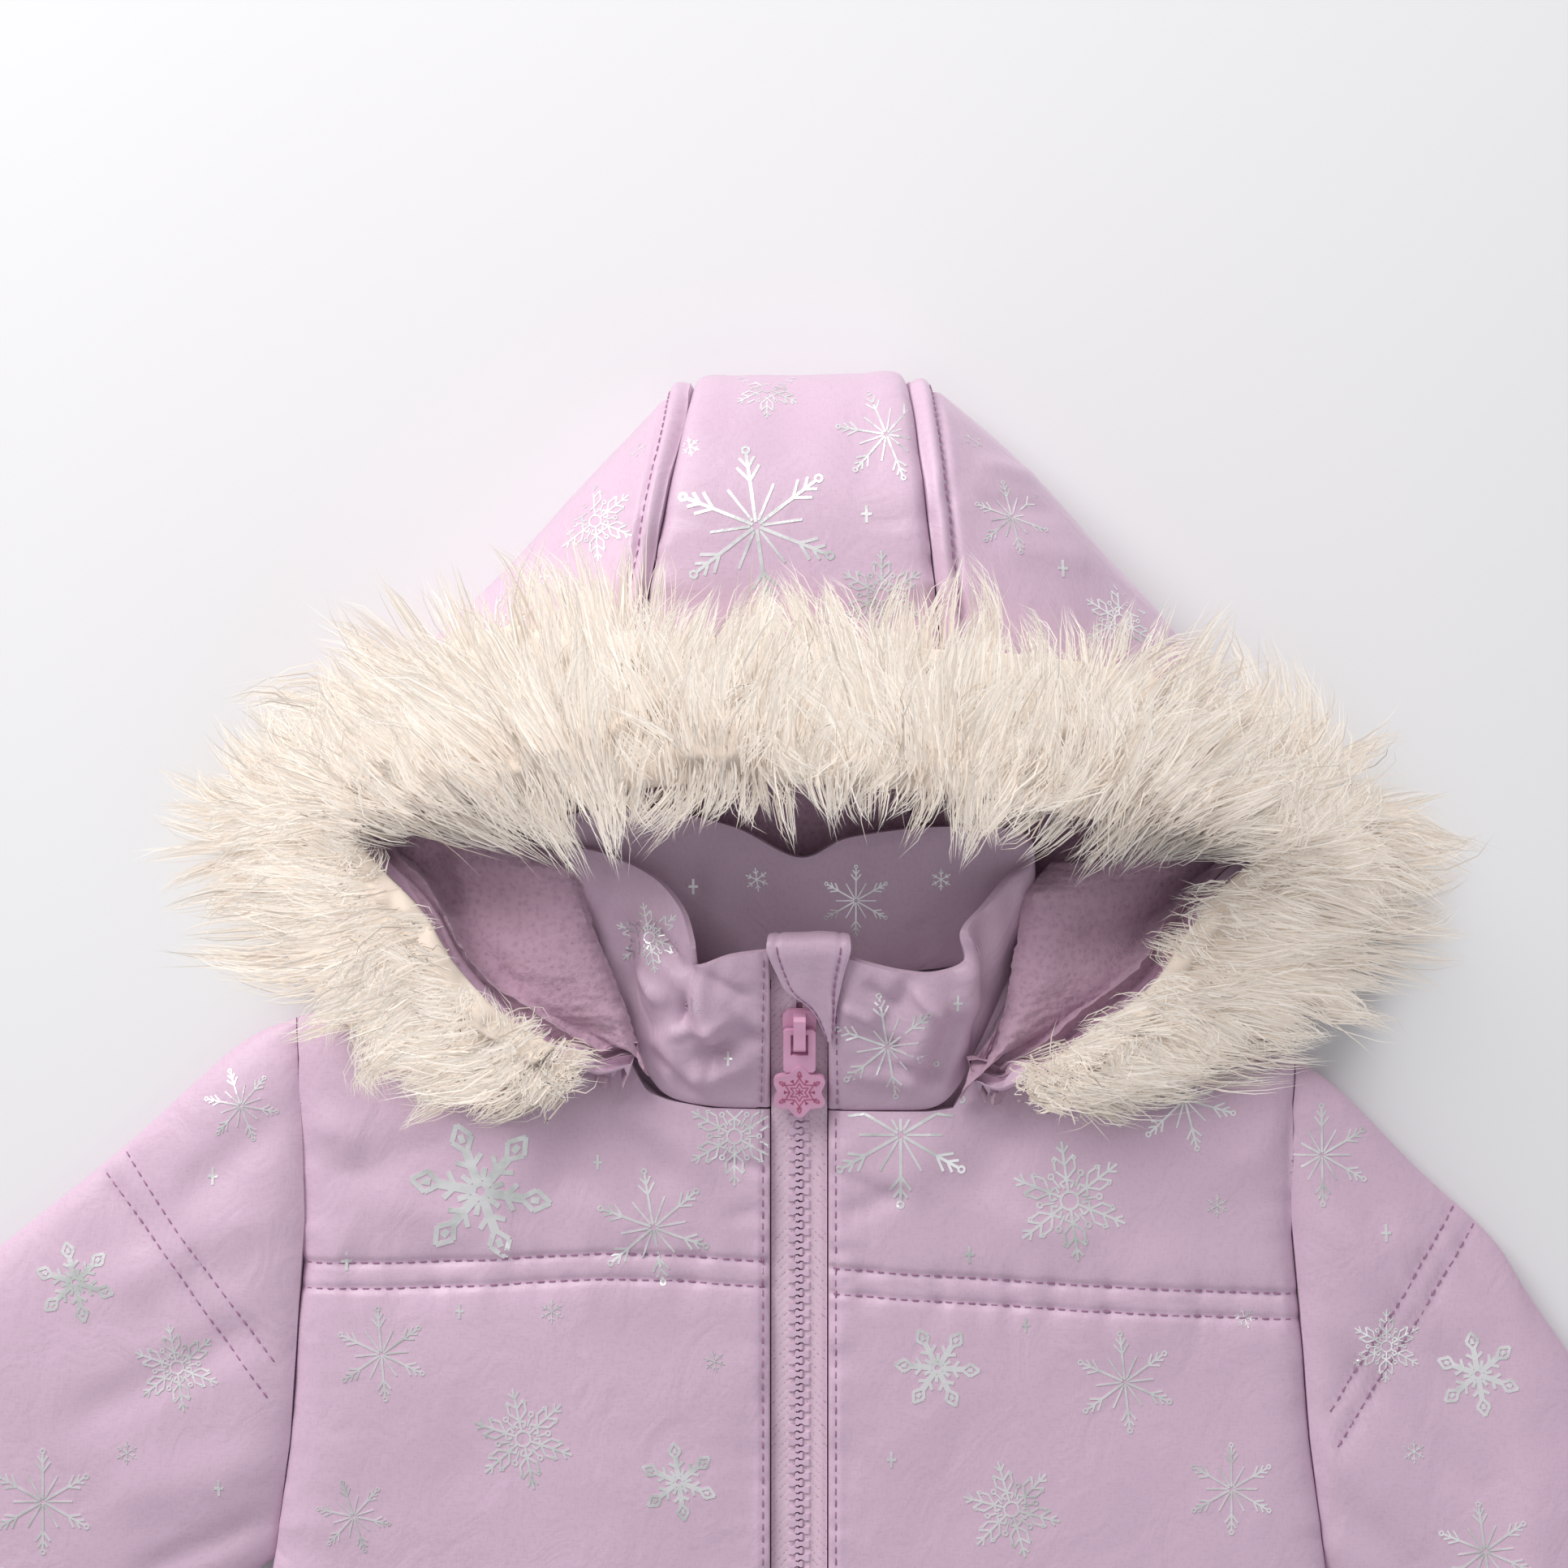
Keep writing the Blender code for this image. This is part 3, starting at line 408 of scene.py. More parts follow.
def satin(name, light, dark):
    made, shader = new_finish(name, light, 0.44, Sheen_Weight=0.3, Sheen_Roughness=0.35,
                              Specular_IOR_Level=0.42)
    shader.inputs["Sheen Tint"].default_value = (0.95, 0.86, 0.97, 1.0)
    place = object_place(made)
    colour = mixed(made, noise(made, place, 9.0, 3.0), dark, light)
    grain = thread_grain(made, 0.0006)
    soft = mixed(made, grain, tuple(0.9 * c for c in light), tuple(1.04 * c for c in light),
                 0.8, 1.2)
    paint(made, shader, blended(made, 0.45, colour, soft))
    creases = add_node(made, "ShaderNodeTexNoise", {
        "Vector": cloth_place(made, (1.0, 0.7, 1.0)), "Scale": 70.0, "Detail": 3.0,
        "Roughness": 0.5, "Distortion": 1.2}).outputs["Fac"]
    bump(made, shader, grain, 0.00005, 0.55, bump(made, shader, creases, 0.0022, 0.3))
    return made


def fleece_finish():
    made, shader = new_finish("fleece_curls", (0.45, 0.27, 0.37), 1.0, Sheen_Weight=0.4,
                              Sheen_Roughness=0.6, Specular_IOR_Level=0.1)
    shader.inputs["Sheen Tint"].default_value = (0.95, 0.82, 0.89, 1.0)
    place = object_place(made)
    curls = add_node(made, "ShaderNodeTexVoronoi", {"Vector": place, "Scale": 560.0},
                     feature="SMOOTH_F1").outputs["Distance"]
    fuzz = noise(made, place, 1300.0, 3.0, 0.65)
    height = total(made, fuzz, curls)
    colour = mixed(made, height, (0.42, 0.265, 0.36), (0.52, 0.34, 0.44), 0.5, 1.4)
    paint(made, shader, colour)
    bump(made, shader, height, 0.0006, 0.6)
    return made


def tape_finish():
    made, shader = new_finish("zip_tape_weave", (0.58, 0.42, 0.52), 0.85, Sheen_Weight=0.15)
    place = cloth_place(made, (1.0, 1.0, 1.0))
    wave = add_node(made, "ShaderNodeTexWave", {"Vector": place, "Scale": 260.0, "Distortion": 1.5,
                                                "Detail": 2.0, "Detail Scale": 3.0},
                    bands_direction="DIAGONAL").outputs["Fac"]
    grain = thread_grain(made, 0.0005)
    height = total(made, wave, grain)
    colour = mixed(made, height, (0.48, 0.32, 0.42), (0.70, 0.53, 0.63), 0.9, 1.7)
    paint(made, shader, colour)
    bump(made, shader, height, 0.0001, 0.6)
    return made


def foil_finish():
    made, shader = new_finish("silver_foil", (0.92, 0.93, 0.925), 0.34, Metallic=0.75)
    place = object_place(made)
    # The colour runs from grey-green to white in patches: painted reflection, standing in for the
    # foil's brightness changing with the angle it faces the light.
    painted_reflection_patches = noise(made, place, 90.0, 3.0, 0.6)
    colour = mixed(made, painted_reflection_patches, (0.70, 0.73, 0.70), (0.98, 0.98, 0.98), 0.33, 0.56)
    paint(made, shader, colour)
    bump(made, shader, noise(made, place, 1500.0, 2.0, 0.6), 0.00008, 0.6)
    return made


def plain_finish(name, colour, roughness, grain, depth):
    """Moulded plastic or thread: one colour with faint clouds, and a fine bump."""
    made, shader = new_finish(name, colour, roughness)
    place = object_place(made)
    clouds = mixed(made, noise(made, place, 160.0), tuple(0.9 * c for c in colour),
                   tuple(min(1.0, 1.06 * c) for c in colour))
    paint(made, shader, clouds)
    bump(made, shader, noise(made, place, grain, 2.0), depth, 0.5)
    return made


def hair_finish(name, root, middle, tip):
    """The attribute tip runs from 0 at the root to 1 at the end, tone differs hair by hair. The
    darker root colour is painted shade deep in the pile, and the darker end of the tone range is
    partly painted shade between the locks.
    """
    made, shader = new_finish(name, middle, 0.62, Sheen_Weight=0.25, Specular_IOR_Level=0.3)
    shader.inputs["Sheen Tint"].default_value = (1.0, 0.96, 0.9, 1.0)
    run = add_node(made, "ShaderNodeAttribute", attribute_name="tip").outputs["Fac"]
    # The darker root colour is painted shade deep in the pile.
    ramp = add_node(made, "ShaderNodeValToRGB", {"Fac": run})
    ramp.color_ramp.elements[0].color = (*root, 1.0)
    ramp.color_ramp.elements[1].color = (*tip, 1.0)
    ramp.color_ramp.elements.new(0.45).color = (*middle, 1.0)
    tone = add_node(made, "ShaderNodeAttribute", attribute_name="tone").outputs["Fac"]
    # The tone differs hair by hair at random; its darker end is also painted shade between the
    # locks.
    shades = mixed(made, tone, (0.84, 0.79, 0.745), (1.0, 1.0, 1.0), 0.0, 0.75)
    paint(made, shader, blended(made, 1.0, ramp.outputs["Color"], shades, "MULTIPLY"))
    return made


LILAC, LILAC_DARK = (0.63, 0.455, 0.575), (0.585, 0.41, 0.53)
SATIN = satin("lilac_satin", LILAC, LILAC_DARK)
FLEECE = fleece_finish()
TAPE_CLOTH = tape_finish()
FOIL = foil_finish()
THREAD = plain_finish("mauve_thread", (0.36, 0.17, 0.31), 0.7, 2500.0, 0.00005)
TEETH = plain_finish("mauve_plastic", (0.66, 0.48, 0.61), 0.38, 900.0, 0.00003)
PINK = plain_finish("pink_plastic", (0.76, 0.40, 0.58), 0.36, 500.0, 0.00002)
ROSE = plain_finish("rose_plastic", (0.50, 0.13, 0.24), 0.5, 500.0, 0.00002)
HAIR = hair_finish("cream_hair", (0.83, 0.735, 0.655), (0.91, 0.84, 0.765), (0.94, 0.89, 0.835))

# %% [markdown]
# ## Floor
# The picture's ground is a seamless pale sheet, so one wide plane stands for it.

# %% Floor
def make_floor():
    made, shader = new_finish("paper", (0.80, 0.80, 0.81), 0.9)
    place = object_place(made)
    colour = mixed(made, noise(made, place, 2.0), (0.79, 0.79, 0.80), (0.81, 0.81, 0.82))
    paint(made, shader, colour)
    mesh = bpy.data.meshes.new("floor")
    side = 6.0
    mesh.from_pydata([(-side, -side, 0), (side, -side, 0), (side, side, 0), (-side, side, 0)],
                     [], [(0, 1, 2, 3)])
    mesh.materials.append(made)
    floor = add_object("floor", mesh)


make_floor()


# %% [markdown]
# ## The fronts
# Each front is two layers of satin with wadding between them. It is flat in the middle, thinner
# along its seams, and pulled in by the double row of stitching across the chest, where the cloth
# puckers. Soft folds fan out below the hood. A height for each place on the table gives all this:
# the height is a sum of simple terms, one for each thing that happens to the cloth.

# %% Measures of the body
SEAM_GAP = 0.3
SEAM_CLEAR = SEAM_GAP + 0.1   # where both edges are shaped point by point
HEM_Y, BACK_THICK = -297.0, 6.4
FRONT_UNDER, FRONT_TOP, ZIP_HALF = 6.8, 16.2, 8.3
SIDES = ((HEM_Y, 166.0, 166.0), (-150.0, 158.0, 158.0), (-11.0, 149.2, 149.2),
         (25.0, 144.0, 144.5), (63.0, 141.5, 141.6), (88.0, 139.8, 139.2),
         (111.0, 140.5, 138.9), (127.0, 141.5, 140.6), (146.0, 143.0, 141.6))
FRONT_EDGE = (  # left x, left y, right x, right y
    (ZIP_HALF, 119.0, ZIP_HALF, 118.6), (25.0, 119.4, 25.0, 118.4), (36.5, 121.5, 36.5, 118.4),
    (43.0, 124.0, 43.5, 119.4), (46.6, 130.0, 47.6, 126.0), (49.8, 137.0, 50.8, 133.0),
    (54.0, 146.0, 54.6, 141.5), (60.0, 156.0, 60.0, 151.0), (65.0, 162.5, 65.0, 158.0),
    (92.0, 157.0, 92.0, 151.5), (120.0, 151.0, 120.0, 142.0), (135.0, 147.0, 133.0, 136.5),
    (142.8, 144.5, 140.8, 133.2))
BACK_EDGE = ((-142.8, 144.5), (-110.0, 153.0), (-65.0, 162.5), (-57.0, 160.5), (-40.0, 155.0),
             (-20.0, 153.0), (0.0, 152.5), (20.0, 153.0), (40.0, 154.0), (57.0, 157.0),
             (65.0, 158.0), (110.0, 146.0), (140.8, 133.2))
YOKE = {  # upper row of stitches across the chest: distance from the zip, height
    -1: ((8.0, 75.7), (35.0, 77.8), (56.0, 78.3), (87.0, 76.4), (115.0, 75.5), (146.0, 75.5)),
    1: ((8.0, 74.1), (33.6, 72.1), (60.0, 70.5), (82.0, 69.1), (112.0, 67.7), (146.0, 66.3))}
YOKE_SPACE = 7.2          # between its two rows
ZIP_ROW = 2.0             # from a front's edge to its row of stitches
HEM_ROW = 20.0            # from the hem to its row of stitches
FOLDS = {                 # x, y at one end, x, y at the other, width, height
    -1: ((-69.4, 124.8, -64.8, 94.5, 8.0, -1.5), (-80.0, 127.0, -82.0, 92.0, 9.0, 1.1),
         (-57.0, 121.0, -35.5, 96.4, 7.0, -1.3), (-50.0, 121.0, -24.0, 102.3, 6.0, 0.8),
         (-23.0, 105.5, -9.0, 101.5, 2.2, -0.7), (-21.0, 88.0, -9.0, 91.0, 2.4, -0.5),
         (-138.0, 128.0, -124.0, 104.0, 6.0, 0.9), (-134.0, 100.0, -97.0, 111.5, 7.0, -0.8),
         (-118.0, 92.0, -88.0, 86.0, 6.0, 0.6), (-60.0, 92.0, -45.0, 84.0, 5.0, 0.5)),
    1: ((60.0, 118.0, 49.3, 93.2, 8.0, -1.2), (43.0, 113.0, 26.4, 95.5, 7.0, 0.8),
        (9.5, 88.5, 31.0, 95.5, 3.6, -0.9), (9.5, 101.0, 27.0, 93.6, 2.6, -0.5),
        (95.2, 127.6, 122.7, 93.2, 11.0, 0.8), (72.2, 104.6, 99.8, 76.0, 10.0, -0.8),
        (138.0, 120.0, 126.0, 100.0, 6.0, 0.7), (60.0, 88.0, 84.0, 82.0, 5.0, 0.6))}


# %% Height of a front
def side_width(y, side):
    """Distance of a front's side seam from the zip."""
    return table_read(SIDES, y, 1 if side < 0 else 2)


def front_edge(side):
    """Rows x, y of a front's upper edge."""
    return np.asarray(FRONT_EDGE)[:, (0, 1) if side < 0 else (2, 3)]


def thinner(depth, distance, reach):
    """How much thinner the padding is at a distance from a seam: it fades as exp(-distance)."""
    return depth * np.exp(-np.maximum(distance, 0.0) / reach)


def yoke_depth(x, y, side):
    """The trough along the two rows of stitches, a sharper groove under each row, and the small
    puckers that run across them: noise that is much longer than wide, strongest at the rows."""
    off = y - table_read(YOKE[side], x)
    trough = 1.3 * bell(off + YOKE_SPACE / 2, 6.5)
    rows = bell(off, 1.1) + bell(off + YOKE_SPACE, 1.1)
    near = np.exp(-(np.minimum(np.abs(off), np.abs(off + YOKE_SPACE)) / 4.5))
    pucker = lumps(side * x, y / 5.0, 5.2, 11) * 0.95
    swell = 0.45 * bell(off + YOKE_SPACE / 2, 2.2)
    return trough + 0.75 * rows - pucker * near - swell


def front_skin(x, y, side):
    """Height of a front at x millimetres from the zip: flat, minus what its seams pull down, plus
    folds and lumps."""
    top_y = table_read(front_edge(side), x)
    edge = side_width(y, side) - x
    shoulder = smooth_step((x - 52.0) / 12.0)
    height = FRONT_TOP - thinner(4.6, edge, 4.5) - thinner(2.0, x - ZIP_HALF, 1.6)
    height -= thinner(4.0, y - HEM_Y, 5.0) + thinner(4.2, top_y - y, 5.0) * shoulder
    height -= 0.5 * np.exp(-np.maximum(top_y - y, 0.0) / 2.0) * (1.0 - shoulder)
    height -= 0.55 * bell(x - ZIP_HALF - ZIP_ROW, 0.8)
    height -= 0.45 * bell(y - HEM_Y - HEM_ROW, 1.2)
    height -= yoke_depth(x, y, side)
    inside = smooth_step(edge / 22.0) * smooth_step((x - ZIP_HALF) / 6.0)
    below = smooth_step((124.0 - y) / 14.0)
    height += 1.5 * fold_heights(side * x, y, FOLDS[side]) * below
    height += lumps(side * x, y, 34.0, 3) * 0.9 * inside * below
    slack = smooth_step((60.0 - y) / 50.0)
    height += slack * inside * (0.9 * lumps(side * x, y / 1.6, 42.0, 7) - 0.2)
    zip_pull = lumps(side * x / 2.2, y, 6.5, 21) * np.exp(-(x - ZIP_HALF) / 7.0) * 0.8
    arm_pull = lumps(side * x / 2.0, y, 8.0, 23) * np.exp(-edge / 9.0) * 0.7
    return height + (zip_pull + arm_pull) * below


# %% Front panels
BODY_STOPS = (HEM_Y, -291.0, -268.0, -20.0, 58.0, 86.0, 96.0)
BODY_SIZES = (1.2, 1.6, 4.0, 1.5, 0.7, 1.3)
BODY_LEVEL = BODY_STOPS[-1]   # rows are level up to here


def body_rows(top_y):
    """Level rows up to the chest, then rows that rise in equal shares to the upper edge."""
    level = fine_steps(BODY_STOPS, BODY_SIZES)
    share = np.linspace(0.0, 1.0, 45)[1:]
    spare = (len(level) + len(share) - 1) % COARSE
    level = np.delete(level, np.arange(12, 12 + spare))
    rise = level[-1] + (top_y[None, :] - level[-1]) * share[:, None]
    return np.concatenate([np.repeat(level[:, None], len(top_y), axis=1), rise])


def make_front(name, side):
    edge = front_edge(side)
    reach = edge[-1, 0] - ZIP_HALF
    across = trim_steps(fine_steps((0.0, 5.0, reach - 5.0, reach), (0.5, 1.6, 0.8)), COARSE)
    across = across / reach
    top_x = ZIP_HALF + across * reach
    y = body_rows(table_read(edge, top_x))
    wide = side_width(y, side)
    straight = ZIP_HALF + (wide - ZIP_HALF) * across
    x = straight + (top_x - straight) * smooth_step((y - 60.0) / 36.0)
    x = np.where(across == 1.0, wide, x)
    outer = np.stack([side * x, y, front_skin(x, y, side)], axis=-1)
    return lying_wall(name, outer, FRONT_UNDER)


FRONT_LEFT = make_front("front_left_cloth", -1)
FRONT_RIGHT = make_front("front_right_cloth", 1)
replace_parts(FRONT_LEFT, "front_left")
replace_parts(FRONT_RIGHT, "front_right")
print("fronts:", TRIANGLES)


# %% [markdown]
# ## The back
# The back lies on the table, so its underside is flat, and little of it is ever seen. It is the
# same kind of wall, with soft lumps on its upper face, where the fronts rest.

# %% Back panel
def make_back():
    across = np.linspace(-1.0, 1.0, 73)
    top_y = table_read(BACK_EDGE, across * np.where(across < 0, -BACK_EDGE[0][0],
                                                    BACK_EDGE[-1][0]))
    level = np.linspace(HEM_Y, BODY_LEVEL, 73)
    rise = BODY_LEVEL + (top_y[None, :] - BODY_LEVEL) * np.linspace(0.0, 1.0, 21)[1:, None]
    y = np.concatenate([np.repeat(level[:, None], len(across), axis=1), rise])
    wide = np.where(across < 0, side_width(y, -1), side_width(y, 1))
    x = wide * across
    upper = BACK_THICK - thinner(1.6, wide * (1.0 - np.abs(across)), 5.0)
    outer = np.stack([x, y, upper - 0.15 * (1 + lumps(x, y, 30.0, 5))], axis=-1)
    return lying_wall("back_cloth", outer, 0.0)


BACK = make_back()
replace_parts(BACK, "back")


# %% [markdown]
# ## Sleeves
# A sleeve that lies flat is a flattened tube: a lens in section, flat below and puffed above. The
# tube is carried from the armhole to the cuff along a short table of its upper and lower ends. It
# is creased where it bends at the armhole, and pulled in where it is stitched.

# %% Measures of the sleeves
SLEEVE_MIDDLE, SLEEVE_PUFF, SLEEVE_WALL, SLEEVE_SLIT = 6.8, 8.6, 6.0, 0.5
SLEEVES = {  # top x, top y, under x, under y
    -1: ((-143.2, 144.6, -149.9, -9.0), (-160.0, 136.5, -165.0, -20.0),
         (-192.0, 108.0, -187.0, -34.5), (-226.0, 80.6, -213.0, -51.0),
         (-270.0, 45.5, -247.0, -72.0), (-318.0, 7.0, -283.0, -94.0),
         (-360.0, -27.0, -315.0, -114.0), (-392.0, -52.5, -337.0, -127.5),
         (-398.0, -57.0, -341.0, -130.0)),
    1: ((142.0, 133.2, 149.9, -14.0), (155.0, 123.0, 163.0, -29.0),
        (176.0, 101.6, 180.0, -49.0), (197.5, 81.5, 197.0, -72.0),
        (211.0, 61.0, 212.0, -92.0), (246.0, 12.0, 233.0, -121.0),
        (292.0, -48.0, 252.0, -147.0), (334.0, -104.0, 265.0, -163.0),
        (340.0, -112.0, 268.0, -167.0))}
SLEEVE_LAST = len(SLEEVES[1]) - 1
CUFF_ROW = 0.6            # from the last section to the cuff's row of stitches, in sections
SLEEVE_ROWS = {  # the double row of stitches on each sleeve, from the top edge to the armhole
    -1: (((-191.6, 107.0), (-178.6, 88.0), (-169.6, 76.0), (-160.7, 64.3), (-148.0, 47.0)),
         ((-197.2, 101.0), (-183.1, 82.8), (-176.3, 73.7), (-169.8, 64.3), (-150.0, 37.0))),
    1: (((186.3, 91.5), (178.0, 78.5), (169.0, 63.6), (150.0, 33.0)),
        ((192.2, 86.5), (184.0, 74.0), (177.5, 63.8), (152.0, 23.0)))}
SLEEVE_FOLDS = {
    -1: ((-146.0, 118.0, -176.0, 92.0, 6.0, -1.2), (-146.0, 92.0, -200.0, 66.0, 7.0, 1.0),
         (-148.0, 60.0, -206.0, 30.0, 6.0, -1.1), (-150.0, 20.0, -196.0, 8.0, 8.0, 1.0),
         (-152.0, 2.0, -190.0, -14.0, 4.0, -1.1), (-230.0, 40.0, -262.0, -10.0, 9.0, -1.0),
         (-280.0, 14.0, -292.0, -50.0, 9.0, 0.9)),
    1: ((146.0, 112.0, 168.0, 84.0, 6.0, -1.1), (147.0, 90.0, 186.0, 50.0, 6.0, 0.9),
        (149.0, 52.0, 190.0, 10.0, 6.0, -1.0), (150.0, 10.0, 182.0, -20.0, 6.0, -1.1),
        (205.0, 20.0, 212.0, -60.0, 9.0, 0.9), (240.0, -40.0, 262.0, -100.0, 9.0, -1.0))}


# %% Sleeve tubes
def line_distance(x, y, points):
    """Shortest distance to a line through a few points."""
    best = np.full(np.broadcast(x, y).shape, 1e9)
    for (x0, y0), (x1, y1) in zip(points, points[1:]):
        t = ((x - x0) * (x1 - x0) + (y - y0) * (y1 - y0)) / ((x1 - x0) ** 2 + (y1 - y0) ** 2)
        t = np.clip(t, 0.0, 1.0)
        best = np.minimum(best, np.hypot(x - x0 - t * (x1 - x0), y - y0 - t * (y1 - y0)))
    return best


def sleeve_loops(side, where, half_count):
    """Loops of points round the sleeve, one for each section number in where. The upper half is
    a super-ellipse over the width, the lower half is flat with rounded ends."""
    read = along(SLEEVES[side], where)
    angle = np.linspace(0.0, math.pi, half_count)
    across = np.concatenate([np.cos(angle), -np.cos(angle)[1:-1]])
    is_top = np.concatenate([np.ones(half_count), np.zeros(half_count - 2)]).astype(bool)
    top, under = read[:, None, :2], read[:, None, 2:]
    middle, half = (top + under) / 2, (top - under) / 2
    place = middle + across[None, :, None] * half
    seam = side * (side_width(place[..., 1], side) + SEAM_CLEAR)
    held = np.exp(-np.asarray(where) / 0.18)[:, None]
    place[..., 0] = place[..., 0] * (1 - held) + seam * held
    place[0, :, 0] = seam[0]
    x, y = place[..., 0], place[..., 1]
    bulge = np.sqrt(np.maximum(1.0 - np.abs(across) ** 3.5, 0.0))[None, :]
    length = np.linalg.norm(2 * half, axis=-1)
    from_seam = np.abs(x) - side_width(y, side)
    puff = SLEEVE_PUFF + 0.8 * np.sin(np.asarray(where) * 1.9)[:, None]
    puff = puff - thinner(3.6, from_seam, 5.0) * smooth_step((0.8 - np.asarray(where))[:, None])
    height = SLEEVE_MIDDLE + puff * bulge
    detail = 1.4 * fold_heights(x, y, SLEEVE_FOLDS[side]) + 0.7 * lumps(x, y, 36.0, 31)
    nearest = np.minimum(*[line_distance(x, y, row) for row in SLEEVE_ROWS[side]])
    pucker = lumps(x * 0.8 + y * 0.6, (y * 0.8 - x * 0.6) / 4.0, 5.0, 33)
    detail = detail - 0.6 * bell(nearest, 1.3) - 0.5 * bell(nearest, 6.0)
    detail = detail + 0.85 * pucker * np.exp(-nearest / 4.5)
    detail = detail + 0.45 * np.exp(-from_seam / 9.0) * lumps(x / 2, y, 8.0, 35)
    edge = smooth_step(bulge * 1.3)
    lower = SLEEVE_MIDDLE * (1.0 - np.sqrt(np.maximum(1 - across ** 8, 0.0)))[None, :]
    height = np.where(is_top, height + detail * edge, lower)
    return np.dstack([place, height]), length


def make_sleeve(name, side):
    """A tube with an outer skin, a coarser lining round the slit, and a rim at both ends."""
    where = fine_steps((0.0, 0.3, 3.0, SLEEVE_LAST - 0.9, SLEEVE_LAST - 0.2, SLEEVE_LAST),
                       (0.04, 0.05, 0.1, 0.06, 0.03))
    half_count = 73
    outer, _ = sleeve_loops(side, where, half_count)
    inner_where = where[np.linspace(0, len(where) - 1, 25).astype(int)]
    inner, width = sleeve_loops(side, inner_where, half_count)
    core = (1.0 - 2.0 * SLEEVE_WALL / width)[..., None]
    read = along(SLEEVES[side], inner_where)
    middle = (read[:, None, :2] + read[:, None, 2:]) / 2
    inner[..., :2] = middle + (inner[..., :2] - middle) * core
    inner[0, :, 0] = side * (side_width(inner[0, :, 1], side) + SEAM_CLEAR)
    round_it = inner.shape[1]
    sign = np.where(np.arange(round_it) < half_count, 1.0, -1.0)
    sign[[0, half_count - 1]] = 0.0
    inner[..., 2] = SLEEVE_MIDDLE + SLEEVE_SLIT * sign
    count = outer.shape[0] * round_it
    end = np.arange(round_it)
    after = (end + 1) % round_it
    far, near_in = (outer.shape[0] - 1) * round_it, count
    far_in = count + (inner.shape[0] - 1) * round_it
    groups = [grid_quads(outer.shape[0], round_it, wrap=True),
              grid_quads(inner.shape[0], round_it, start=count, wrap=True)[:, ::-1],
              np.stack([end, after, near_in + after, near_in + end], axis=-1),
              np.stack([far + end, far_in + end, far_in + after, far + after], axis=-1)]
    points = np.concatenate([outer.reshape(-1, 3), inner.reshape(-1, 3)])
    return write_mesh(name, points, groups, SATIN, points[:, :2] * MM, sharp=50.0)


SLEEVE_LEFT = make_sleeve("sleeve_left_cloth", -1)
SLEEVE_RIGHT = make_sleeve("sleeve_right_cloth", 1)
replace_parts(SLEEVE_LEFT, "sleeve_left")
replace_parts(SLEEVE_RIGHT, "sleeve_right")


# %% [markdown]
# ## The hood
# The hood is a flattened bag. A section of it starts at the neck seam, lies on the table, turns up
# at the fold and comes back over the top to the face edge. Sections follow each other round the
# hood, so a surface point has two numbers: which section, and how far along it. Three panels meet
# at two seams, which are the deep grooves on the real hood, and beside each seam a row of
# stitches holds the seam allowance flat, so the cloth swells between seam and stitches.

